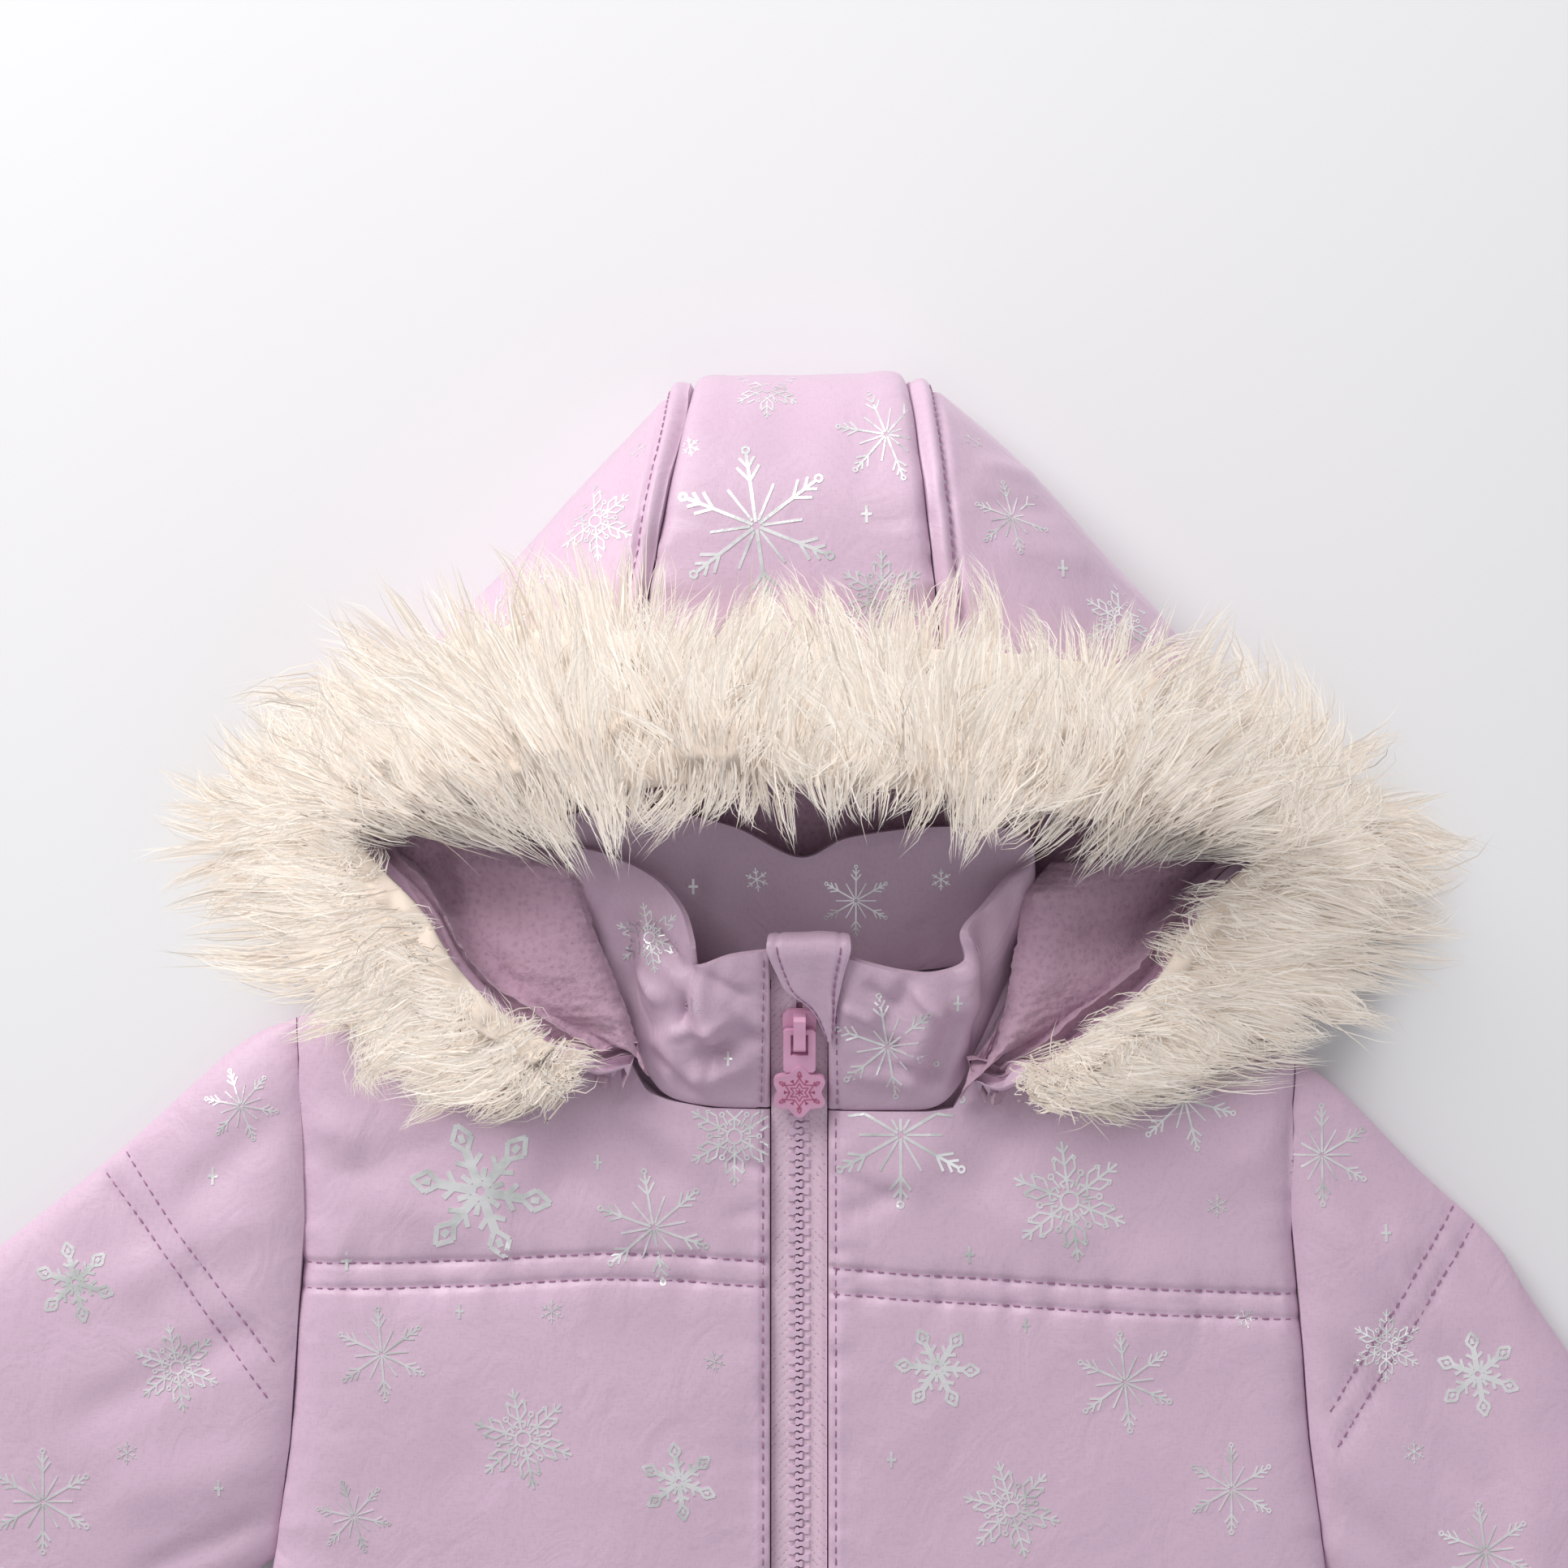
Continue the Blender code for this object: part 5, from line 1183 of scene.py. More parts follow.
def pile_space():
    """Underside of the pile and its height over that. The underside runs from just inside the
    face edge to the hair tips, and the height is a rounded hump."""
    read = along(HOOD, FUR_ROWS)
    face, tip, pile = read[:, 9:12], read[:, 12:15], read[:, 15:16]
    top = top_share(FUR_ROWS, 3.0)
    root = face.copy()
    root[:, :2] -= unit((tip - face)[:, :2]) * (FUR_LIP + (FUR_OVERHANG - FUR_LIP) * top)[:, None]
    root[:, 2] += FUR_LIFT
    under = root[:, None, :] + (tip - root)[:, None, :] * FUR_PARTS[None, :, None]
    floor = hood_top(under.reshape(-1, 3)).reshape(under.shape[:2])
    under[..., 2] = np.maximum(under[..., 2], floor)
    lean = 1.5 - 0.5 * top[:, None]
    hump = np.sin(math.pi * (1.0 - (1.0 - FUR_PARTS[None, :]) ** lean)) ** 0.6
    return under, FUR_THIN + pile * np.nan_to_num(hump)


PILE_UNDER, PILE_HEIGHT = pile_space()
print("pile from", PILE_UNDER.reshape(-1, 3).min(0), "to", PILE_UNDER.reshape(-1, 3).max(0))


def read_grid(grid, where, part):
    """Grid values between the grid's points: a blend of the four nearest."""
    row = np.clip((where - FUR_START) / (FUR_END - FUR_START), 0, 1) * (len(FUR_ROWS) - 1)
    column = np.clip(part, 0, 1) * (len(FUR_PARTS) - 1)
    i = np.minimum(row.astype(int), len(FUR_ROWS) - 2)
    j = np.minimum(column.astype(int), len(FUR_PARTS) - 2)
    s, t = row - i, column - j
    if grid.ndim == 3:
        s, t = s[..., None], t[..., None]
    return ((grid[i, j] * (1 - s) + grid[i + 1, j] * s) * (1 - t)
            + (grid[i, j + 1] * (1 - s) + grid[i + 1, j + 1] * s) * t)


def pile_point(where, part, lift):
    """A point in the pile: part runs from the inner edge, 0, to the hair tips, 1, and on beyond
    both; lift is a share of the pile's height. Beyond the inner edge hair hangs down."""
    place = read_grid(PILE_UNDER, where, part)
    inner_edge = read_grid(PILE_UNDER, where, np.zeros_like(part))
    outer_edge = read_grid(PILE_UNDER, where, np.ones_like(part))
    beyond = np.minimum(part, 0.0) + np.maximum(part - 1.0, 0.0)
    place = place + (outer_edge - inner_edge) * beyond[..., None] * np.array([1.0, 1.0, 0.0])
    height = read_grid(PILE_HEIGHT, where, part)
    place[..., 2] += lift * height - 26.0 * np.maximum(-part, 0.0) ** 1.2
    return place


# %% Dense base of the pile
BASE_FINE = 3
BASE_FROM, BASE_TO = 0.04, 0.78   # shares of the pile's width, so that hair hides the edges


def pile_base(name, start, end, rows):
    """A closed lumpy body that fills about half of the pile's height."""
    where = np.linspace(start + TRIM, end - TRIM, rows * BASE_FINE + 1)[:, None]
    part = np.linspace(BASE_FROM, BASE_TO, 16 * BASE_FINE + 1)[None, :]
    where, part = np.broadcast_arrays(where, part)
    low = pile_point(where, part, np.zeros_like(part))
    low[..., 2] += 0.9 * np.sin(math.pi * part)
    high = pile_point(where, part, 0.45 + 0.14 * lumps(low[..., 0], low[..., 1], 7.0, 81))
    high[..., 2] = np.maximum(high[..., 2], low[..., 2] + 1.0)
    under = low[::BASE_FINE, ::BASE_FINE]
    made = panel(name, high, under, HAIR, np.zeros((*high.shape[:2], 2)), sharp=None)
    # Painted shade: the base gets the dark root colour and a low tone, so that the gaps between
    # the hairs read as depth.
    for key, value in (("tip", 0.08), ("tone", 0.25)):
        attribute = made.data.attributes.new(key, "FLOAT", "POINT")
        attribute.data.foreach_set("value", np.full(len(made.data.vertices), value, np.float32))
    return made


for side, node, start, end, rows in (("left", "fur_left", FUR_START + 1.0, FUR_CORNER_LEFT, 24),
                                     ("top", "fur_top", FUR_CORNER_LEFT, FUR_CORNER_RIGHT, 64),
                                     ("right", "fur_right", FUR_CORNER_RIGHT, FUR_END - 1.0, 24)):
    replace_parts(pile_base("fur_base_" + side, start, end, rows), node)

# %% Locks of hair
HAIR_STEPS = np.array([0.0, 0.36, 0.70, 1.0])   # rings along a hair; the last is its point
HAIR_RADIUS = 0.24
HAIR_LEAN = 0.16          # how much a hair's direction counts in its shading
HAIR_TILT = 0.16          # random tilt of a hair's shading
HAIR_CURL = 1.5           # how far a hair bows out of its lock
STRAY_SHARE, STRAY_REACH = 0.10, 3.2   # hairs that leave their lock, and how far
HAIRS_PER_LOCK = 20
LOCK_SPREAD = 3.8         # half width of a lock at its root
LOCK_GATHER = 0.55        # how much narrower a lock is at its tip


def lock_roots(rng, count, start, end):
    """Section numbers spread evenly over the strip's length."""
    rows = np.linspace(start, end, 400)
    middle = pile_point(rows, np.full(400, 0.6), np.full(400, 0.5))
    gone = distance_along(middle)
    return np.interp((np.arange(count) + rng.uniform(0, 1, count)) / count * gone[-1], gone, rows)


def hair_paths(rng, where, root, run, lift_mid, lift_tip, drift):
    """Points of every hair: its lock's path in the pile, plus its own offset, which shrinks
    towards the tip so that the lock comes to a point."""
    t = HAIR_STEPS[None, :]
    part = root[:, None] + run[:, None] * t ** 0.9
    sideways = where[:, None] + drift[:, None] * t ** 2
    lift = 0.35 * (1 - t) ** 2 + 2 * lift_mid * t * (1 - t) + lift_tip[:, None] * t ** 2
    path = np.repeat(pile_point(sideways, part, lift), HAIRS_PER_LOCK, axis=0)
    count = len(path)
    offset = rng.normal(0.0, 1.0, (count, 3)) * LOCK_SPREAD * np.array([0.5, 0.5, 0.3])
    kept = 1.0 - LOCK_GATHER * t[..., None] ** 1.1
    curl = rng.normal(0.0, 1.0, (count, 3)) * HAIR_CURL * np.array([1.0, 1.0, 0.5])
    bend = np.sin(math.pi * HAIR_STEPS)[None, :, None]
    stray = (rng.uniform(0, 1, count) < STRAY_SHARE)[:, None, None]
    wild = rng.normal(0.0, 1.0, (count, 3)) * STRAY_REACH * np.array([1.0, 1.0, 0.45])
    path = path + offset[:, None, :] * kept + curl[:, None, :] * bend
    path = path + np.where(stray, wild[:, None, :] * t[..., None] ** 1.5, 0.0)
    cut = rng.uniform(0.72, 1.08, count)[:, None, None]
    return path[:, :1] + (path - path[:, :1]) * cut


def hair_mesh(name, paths, rng):
    """Three-sided spikes: a triangle round the path at every step but the last, which is a
    point. All corners of a hair share one shading normal, up and a little the way the hair
    leans, so that a lock is lit as one soft surface and not as hundreds of dark and bright
    sides."""
    count, steps = paths.shape[:2]
    tangent = unit(np.gradient(paths, axis=1))
    first = unit(np.cross(tangent, np.array([0.31, 0.12, 0.94])))
    second = np.cross(tangent, first)
    thick = HAIR_RADIUS * rng.uniform(0.7, 1.3, count)[:, None]
    thick = thick * (1.0 - 0.75 * HAIR_STEPS[:-1]) ** 0.8
    rings = []
    for angle in (0.0, 2 * math.pi / 3, 4 * math.pi / 3):
        turned = first * math.cos(angle) + second * math.sin(angle)
        rings.append(paths[:, :-1] + turned[:, :-1] * thick[..., None])
    ring = np.stack(rings, axis=2).reshape(count, -1, 3)
    points = np.concatenate([ring, paths[:, -1:]], axis=1)
    each = points.shape[1]
    last = 3 * (steps - 2)
    ends = [(last + a, last + b, each - 1) for a, b in ((0, 1), (1, 2), (2, 0))] + [(2, 1, 0)]
    groups = [copies(ring_faces(3, steps - 1), count, each), copies(ends, count, each)]
    tip = np.concatenate([np.repeat(HAIR_STEPS[:-1], 3), [1.0]])
    values = {"tip": np.tile(tip, count), "tone": np.repeat(rng.uniform(0, 1, count), each)}
    piece = write_mesh(name, points.reshape(-1, 3), groups, HAIR, values=values,
                       recalculate=False, sharp=None)
    lean = HAIR_LEAN * unit(paths[:, -1] - paths[:, 0]) + (0.0, 0.0, 1.0)
    lean = unit(lean + rng.normal(0.0, HAIR_TILT, (count, 3)))
    piece.data.normals_split_custom_set_from_vertices(np.repeat(lean, each, axis=0).tolist())
    return piece


def fur_hair(name, start, end, locks, seed):
    """Outer locks sweep over the hood, middle ones stand up, short ones curl over the parting,
    inner ones hang over the opening."""
    rng = np.random.default_rng(seed)
    kinds = []
    for share, root_low, root_high, run_low, run_high, mid, tip_low, tip_high in (
            (0.34, 0.34, 0.80, 0.26, 0.52, 1.06, 0.25, 0.80),
            (0.24, 0.10, 0.46, 0.34, 0.62, 1.20, 0.55, 0.95),
            (0.12, 0.10, 0.50, 0.16, 0.30, 1.25, 0.75, 1.05),
            (0.30, 0.06, 0.44, -0.42, -0.20, 1.12, -0.05, 0.75)):
        number = int(locks * share)
        where = lock_roots(rng, number, start, end)
        root = rng.uniform(root_low, root_high, number)
        run = rng.uniform(run_low, run_high, number)
        run = np.where(run < 0, run * (0.48 + 0.52 * top_share(where, 2.0)), run)
        wave = np.sin(where * 5.3 + root * 4.0 + seed) + np.sin(where * 11.7 - root * 6.0)
        tip = np.clip((tip_low + tip_high) / 2 + (tip_high - tip_low) * 0.3 * wave, -0.2, 1.2)
        drift = 0.34 * np.sin(where * 2.3 + root * 5.0) + rng.normal(0.0, 0.18, number)
        kinds.append(hair_paths(rng, where, root, run, mid, tip, drift))
    paths = np.concatenate(kinds)
    paths[..., 2] = np.maximum(paths[..., 2], 0.4)
    return hair_mesh(name, paths, rng)


HAIR_PARTS = (("fur_hair_left", 1.4, 7.4, 250, 101), ("fur_hair_top_left", 6.8, 11.6, 245, 102),
              ("fur_hair_top", 11.4, 16.8, 245, 103), ("fur_hair_top_right", 16.4, 21.2, 245, 104),
              ("fur_hair_right", 20.6, 26.6, 250, 105))
HAIRS = [fur_hair(*part) for part in HAIR_PARTS]
for hairs in HAIRS:
    hairs.visible_shadow = False      # real hair lets light through, so it shades the next little
print("triangles:", sum(TRIANGLES.values()), TRIANGLES)


# %% [markdown]
# ## Zip
# The zip has two woven tapes that run up the fronts and over the collar, and moulded teeth whose
# heads hook into each other. A tooth is an outline of twelve points that is wide at the tape,
# narrow at the neck and round at the head, drawn up and pulled in a little on top. All teeth are
# one array: the outline times the places along the zip.

# %% Path of the zip
TAPE_THICK, TAPE_GAP = 1.2, 0.9
TAPE = ((-290.0, 10.5), (-200.0, 10.5), (-100.0, 10.5), (0.0, 10.5), (70.0, 10.5),
        (104.0, 10.5), (112.0, 11.2), (120.0, 13.6), (164.0, 32.4))


def zip_frame(y):
    """Points on the zip's middle at y, with unit vectors along it and up from it."""
    slope = table_read(TAPE, y + 0.5) - table_read(TAPE, y - 0.5)
    tangent = unit(np.column_stack([np.zeros_like(y), np.ones_like(y), slope]))
    up = np.column_stack([np.zeros_like(y), -tangent[:, 2], tangent[:, 1]])
    return np.column_stack([np.zeros_like(y), y, table_read(TAPE, y)]), tangent, up


# %% Tapes
def make_tape(name, side):
    """A woven band with a thicker cord along the edge that carries the teeth."""
    y = fine_steps((-290.0, -20.0, 100.0, 124.0, 164.0), (3.0, 1.2, 0.8, 1.2))
    y = trim_steps(y, COARSE)
    across = np.linspace(TAPE_GAP, ZIP_HALF - SEAM_CLEAR, 13)
    place, _, up = zip_frame(y)
    bead = 0.35 * bell(across - 2.6, 0.9) - 0.25 * smooth_step((across - 6.6) / 0.8)
    rib = 0.06 * np.sin(y * 2 * math.pi / 2.4)[:, None] * np.ones_like(across)
    lift = TAPE_THICK / 2 + bead[None, :] + rib
    outer = place[:, None, :] + up[:, None, :] * lift[..., None]
    outer[..., 0] = side * across
    under = place[::COARSE, None, :] - up[::COARSE, None, :] * (TAPE_THICK / 2)
    under = np.repeat(under, 4, axis=1)
    under[..., 0] = side * across[::COARSE]
    return panel(name, outer, under, TAPE_CLOTH, cloth_layout(outer))


TAPE_LEFT, TAPE_RIGHT = make_tape("zip_tape_left_woven", -1), make_tape("zip_tape_right_woven", 1)
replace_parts(TAPE_LEFT, "zip_tape_left")
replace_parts(TAPE_RIGHT, "zip_tape_right")

# %% Teeth
TOOTH_PITCH = 3.85
TOOTH_OUTLINE = np.array([  # across, along: half of a tooth that points to the left
    (3.1, 1.15), (1.7, 1.15), (0.9, 0.62), (0.1, 0.60), (-0.5, 1.05), (-1.15, 0.85)])
TEETH_FIRST, TEETH_LAST = -287.5, 133.5


def make_teeth(name, side):
    """Every tooth of one side: the outline at four heights, placed along the zip."""
    shift = 0.0 if side < 0 else TOOTH_PITCH / 2
    y = np.arange(TEETH_FIRST + shift, TEETH_LAST, TOOTH_PITCH)
    outline = np.concatenate([TOOTH_OUTLINE, TOOTH_OUTLINE[::-1] * (1, -1)])
    outline = outline * (side, 1.0)
    centre = outline.mean(axis=0)
    layers = []
    for height, size in ((-1.5, 0.82), (-1.15, 1.0), (1.15, 1.0), (1.5, 0.82)):
        flat = centre + (outline - centre) * size
        layers.append(np.column_stack([flat, np.full(len(flat), height)]))
    template = np.concatenate(layers)
    place, tangent, up = zip_frame(y)
    points = (place[:, None, :] + np.array([1.0, 0.0, 0.0]) * template[None, :, :1]
              + tangent[:, None, :] * template[None, :, 1:2]
              + up[:, None, :] * template[None, :, 2:])
    around = np.arange(len(outline))
    caps = [around[::-1], len(template) - len(outline) + around]
    groups = [copies(ring_faces(len(outline), len(layers)), len(y), len(template)),
              copies(caps, len(y), len(template))]
    print(name, len(y), "teeth")
    return write_mesh(name, points.reshape(-1, 3), groups, TEETH, sharp=35.0)


make_teeth("zip_teeth_left", -1)
make_teeth("zip_teeth_right", 1)


# %% [markdown]
# ## Slider and pull
# The slider and the pull are moulded solids that already have the right shape, so they stay and
# get a better finish. The pull's star carries a six-fold snowflake in rose: thin bars, a hair's
# breadth above the face, mirrored and turned five times.

# %% Finish of the moulded parts
def refinish(node, made):
    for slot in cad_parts[node].material_slots:
        slot.material = made


refinish("zip_slider", PINK)
refinish("pull_tab", PINK)
refinish("zip_box", TEETH)


# %% Bars and turns
def bars(segments, width, segment_length=None):
    """Flat rectangles, one along each segment x0, y0, x1, y1, as corner points (n, 4, 2). With a
    segment length, long ones are cut into pieces, so that they can follow a surface."""
    segments = np.asarray(segments, float)
    widths = np.broadcast_to(np.asarray(width, float), len(segments))
    if segment_length:
        pieces, kept = [], []
        for (x0, y0, x1, y1), w in zip(segments, widths):
            cuts = max(1, math.ceil(math.hypot(x1 - x0, y1 - y0) / segment_length))
            t = np.linspace(0.0, 1.0, cuts + 1)
            x, y = x0 + (x1 - x0) * t, y0 + (y1 - y0) * t
            pieces.append(np.column_stack([x[:-1], y[:-1], x[1:], y[1:]]))
            kept.append(np.full(cuts, w))
        segments, widths = np.concatenate(pieces), np.concatenate(kept)
    start, end = segments[:, :2], segments[:, 2:]
    run = unit(end - start)
    side = np.column_stack([-run[:, 1], run[:, 0]]) * widths[:, None] / 2
    return np.stack([start - side, end - side, end + side, start + side], axis=1)


def turned(segments, angle):
    """Segments turned about the origin."""
    points = np.asarray(segments, float).reshape(-1, 2)
    turn = np.array([[math.cos(angle), math.sin(angle)], [-math.sin(angle), math.cos(angle)]])
    return (points @ turn).reshape(-1, 4)


def with_mirror(segments):
    """Half an arm becomes a whole one."""
    segments = np.asarray(segments, float)
    return np.concatenate([segments, segments * (-1, 1, -1, 1)])


def six_fold(segments, first=0.0):
    """Segments turned six times about the origin, starting with a first turn."""
    return np.concatenate([turned(segments, first + k * math.pi / 3) for k in range(6)])


def write_boxes(name, low, high, finish, slot, body="root"):
    """Closed flat boxes from their lower and upper corners (n, 4, 3)."""
    points = np.concatenate([low, high], axis=1).reshape(-1, 3)
    faces = ((3, 2, 1, 0), (4, 5, 6, 7), (0, 1, 5, 4), (1, 2, 6, 5), (2, 3, 7, 6), (3, 0, 4, 7))
    return write_mesh(name, points, [copies(faces, len(low), 8)], finish, sharp=30.0,
                      body=body)


# %% Snowflake on the pull
PIN_Y, PIN_LIFT, STAR_Y, TAB_HALF = 143.5, 4.2, -18.6, 1.1
PULL_BARS = (  # half of one arm, from the middle outwards
    (0.0, 0.0, 0.0, 1.2), (0.0, 2.9, 0.75, 1.35), (0.0, 4.5, 1.35, 2.35), (1.35, 2.35, 1.5, 2.6),
    (0.0, 4.5, 0.0, 5.0), (0.0, 4.6, 0.75, 5.25), (0.0, 5.1, 0.5, 5.8), (0.5, 5.8, 0.0, 6.6),
    (1.5, 2.6, 2.15, 3.72), (1.85, 3.2, 1.95, 3.9), (1.85, 3.2, 2.5, 3.5))
PULL_BAR_WIDTH, PULL_BAR_HEIGHT, PULL_BAR_SINK = 0.36, 0.12, 0.05


def make_pull_flake():
    """Bars on the star's face, in the pull's own frame, then turned by the zip's slope."""
    flat = bars(six_fold(with_mirror(PULL_BARS)), PULL_BAR_WIDTH)
    lift = TAB_HALF + 0.02 * (np.arange(len(flat)) % 3) / 3
    (y0, z0), (y1, z1) = TAPE[-2:]
    slope = math.atan2(z1 - z0, y1 - y0)
    origin = np.array([0.0, PIN_Y - PIN_LIFT * math.sin(slope),
                       table_read(TAPE, PIN_Y) + PIN_LIFT * math.cos(slope)])
    along_zip = np.array([0.0, math.cos(slope), math.sin(slope)])
    up = np.array([0.0, -math.sin(slope), math.cos(slope)])
    layers = []
    for height in (0.0, PULL_BAR_HEIGHT):
        x, y = flat[..., 0], flat[..., 1] + STAR_Y
        layers.append(origin + x[..., None] * np.array([1.0, 0, 0]) + y[..., None] * along_zip
                      + (lift[:, None] + height - PULL_BAR_SINK)[..., None] * up)
    return write_boxes("pull_snowflake", *layers, ROSE, "zip_plastic", body="pull")


make_pull_flake()


# %% [markdown]
# ## Sewing
# Each stitch is a tiny spindle that lies in the groove its thread pulls into the cloth. A row of
# stitches needs points on the cloth: a row drawn on the plan is dropped onto a panel with a
# Shrinkwrap modifier on a mesh of bare points, and then cut into equal stitches.

# %% Dropping points onto cloth
DROP_START = 150.0        # height from which points are dropped


def dropped(points, target):
    """Points x, y in millimetres dropped straight down onto a piece. A point that misses it gets
    a height of -1."""
    mesh = bpy.data.meshes.new("droplets")
    mesh.vertices.add(len(points))
    start = np.column_stack([points, np.full(len(points), DROP_START)]) * MM
    mesh.vertices.foreach_set("co", start.astype(np.float32).ravel())
    thing = add_object("droplets", mesh)
    wrap = thing.modifiers.new("drop", "SHRINKWRAP")
    wrap.target, wrap.wrap_method = target, "PROJECT"
    wrap.use_project_z, wrap.use_negative_direction = True, True
    wrap.use_positive_direction = False
    shown = thing.evaluated_get(bpy.context.evaluated_depsgraph_get())
    moved = np.empty(len(points) * 3, np.float32)
    shown.data.vertices.foreach_get("co", moved)
    z = moved.reshape(-1, 3)[:, 2] / MM
    bpy.data.objects.remove(thing)
    bpy.data.meshes.remove(mesh)
    return np.column_stack([points, np.where(z < DROP_START - 1.0, z, -1.0)])


def resampled(line, step):
    """Points at equal distances along a line."""
    gone = distance_along(line)
    count = max(2, int(round(gone[-1] / step)) + 1)
    at = np.linspace(0.0, gone[-1], count)
    return np.column_stack([np.interp(at, gone, line[:, k]) for k in range(line.shape[1])])


# %% Stitches
STITCH_STEP, STITCH_LENGTH, STITCH_RADIUS = 3.3, 2.5, 0.26
SEWN = []                 # middle, direction and up of every stitch


def sew_path(path, up=None, step=STITCH_STEP):
    """Adds a row of stitches along points that already lie on the cloth."""
    even = resampled(path if up is None else np.hstack([path, up]), step)
    middle = (even[1:] + even[:-1]) / 2
    run = unit((even[1:] - even[:-1])[:, :3])
    above = middle[:, 3:] if up is not None else np.tile([0.0, 0.0, 1.0], (len(middle), 1))
    above = unit(above - run * (above * run).sum(axis=1, keepdims=True))
    SEWN.append(np.hstack([middle[:, :3], run, above]))


def sew_plan(line, cloth):
    """Adds a row of stitches along a line on the plan, dropped onto the cloth."""
    path = dropped(resampled(line, 1.0), cloth)
    sew_path(path[path[:, 2] > 0.0])


for side, cloth in ((-1, FRONT_LEFT), (1, FRONT_RIGHT)):
    reach = np.linspace(9.2, side_width(72.0, side) - 1.0, 60)
    upper = table_read(YOKE[side], reach)
    for drop in (0.0, YOKE_SPACE):
        sew_plan(np.column_stack([side * reach, upper - drop]), cloth)
    zip_row = np.linspace(HEM_Y + 3.0, 117.0, 200)
    sew_plan(np.column_stack([np.full(200, side * (ZIP_HALF + ZIP_ROW)), zip_row]), cloth)
    hem = np.linspace(ZIP_HALF + 3.0, side_width(HEM_Y + HEM_ROW, side) - 2.0, 60)
    sew_plan(np.column_stack([side * hem, np.full(60, HEM_Y + HEM_ROW)]), cloth)
for side, cloth in ((-1, SLEEVE_LEFT), (1, SLEEVE_RIGHT)):
    for row in SLEEVE_ROWS[side]:
        sew_plan(along(row, np.linspace(0.0, len(row) - 1.0, 60)), cloth)
    cuff = along(SLEEVES[side], np.array([SLEEVE_LAST - CUFF_ROW]))[0]
    share = np.linspace(0.03, 0.97, 40)[:, None]
    sew_plan(cuff[:2] + (cuff[2:] - cuff[:2]) * share, cloth)


def sew_hood(side):
    """The row of stitches beside a hood seam: the point of each path share that lies ROW_AWAY
    from the seam along the cloth."""
    skin = LEFT_SKIN[::-1] if side < 0 else RIGHT_SKIN
    gone = seam_distance(skin, 0)
    shares = np.where(HOOD_PATH > LOWER_END + 0.02)[0]
    row = np.array([np.argmin(np.abs(gone[:, k] - ROW_AWAY)) for k in shares])
    path = skin[row, shares]
    up = outward(skin)[row, shares]
    up = up * np.sign(up[:, 2:] + up[:, 1:2] + 1e-6)
    sew_path(path + up * 0.1, up)


sew_hood(-1)
sew_hood(1)


def sew_collar():
    """Rows beside the zip on both ends of the collar, just inside the band's outer face."""
    levels = np.linspace(0.03, 0.97, 60)
    for where in (0.22, COLLAR_LAST - 0.22):
        middle, normal = collar_middle(np.array([where - 0.05, where, where + 0.05]), levels)
        sew_path(middle[1] + normal[1] * (COLLAR_WALL / 2 - 0.35), normal[1])


sew_collar()


def sew_guard():
    """Rows along both edges of the chin guard."""
    for across in (0.12, 0.88):
        where = np.linspace(2.6, len(GUARD) - 1.3, 60)
        path = guard_point(where, np.array([across]), np.full((60, 1), GUARD_WALL / 2 - 0.25))
        sew_path(path[:, 0], step=2.6)


sew_guard()


def make_stitches(name):
    """A spindle of four rings with four corners for each stitch, its ends sunk into the cloth."""
    data = np.concatenate(SEWN)
    middle, run, up = data[:, :3], data[:, 3:6], data[:, 6:]
    side = np.cross(run, up)
    template = []
    for along_it, size, sink in ((-0.5, 0.35, -0.35), (-0.3, 1.0, 0.0), (0.3, 1.0, 0.0),
                                 (0.5, 0.35, -0.35)):
        for angle in (0.25, 0.75, 1.25, 1.75):
            template.append((along_it * STITCH_LENGTH, math.cos(angle * math.pi) * size,
                             math.sin(angle * math.pi) * size * STITCH_RADIUS + sink + 0.12))
    template = np.array(template)
    points = (middle[:, None] + run[:, None] * template[None, :, :1]
              + side[:, None] * template[None, :, 1:2] * STITCH_RADIUS
              + up[:, None] * template[None, :, 2:])
    faces = np.concatenate([ring_faces(4, 4), [[3, 2, 1, 0], [12, 13, 14, 15]]])
    print(name, len(data), "stitches")
    return write_mesh(name, points.reshape(-1, 3), [copies(faces, len(data), len(template))],
                      THREAD, sharp=None)


make_stitches("stitches")


# %% [markdown]
# ## Foil print
# The satin is printed with snowflakes in silver foil, a film that is flat, thin and shiny. A print
# could be a mask in the material, but crisp lines as thin as these need geometry: each flake is a
# drawing of thin bars in the plane, dropped onto the cloth like the stitches, and given a
# thickness of a tenth of a millimetre. A drawing is made once at a radius of one and then scaled.

# %% Drawings
def ring(x, y, radius, corners=6):
    """Bars round a point."""
    angle = np.linspace(0.0, 2 * math.pi, corners + 1)
    px, py = x + radius * np.cos(angle), y + radius * np.sin(angle)
    return np.column_stack([px[:-1], py[:-1], px[1:], py[1:]])


def drawing(*strokes):
    """Strokes are (bars, width, kind): kind "middle" lies on the arm's axis and turns six times,
    "sides" is mirrored as well, "between" turns six times half a step further, "still" stays."""
    flat, widths = [], []
    for segments, width, kind in strokes:
        if kind == "sides":
            segments = with_mirror(segments)
        if kind != "still":
            segments = six_fold(segments, math.pi / 6 if kind == "between" else 0.0)
        flat.append(segments)
        widths.append(np.full(len(segments), width))
    return np.concatenate(flat), np.concatenate(widths)


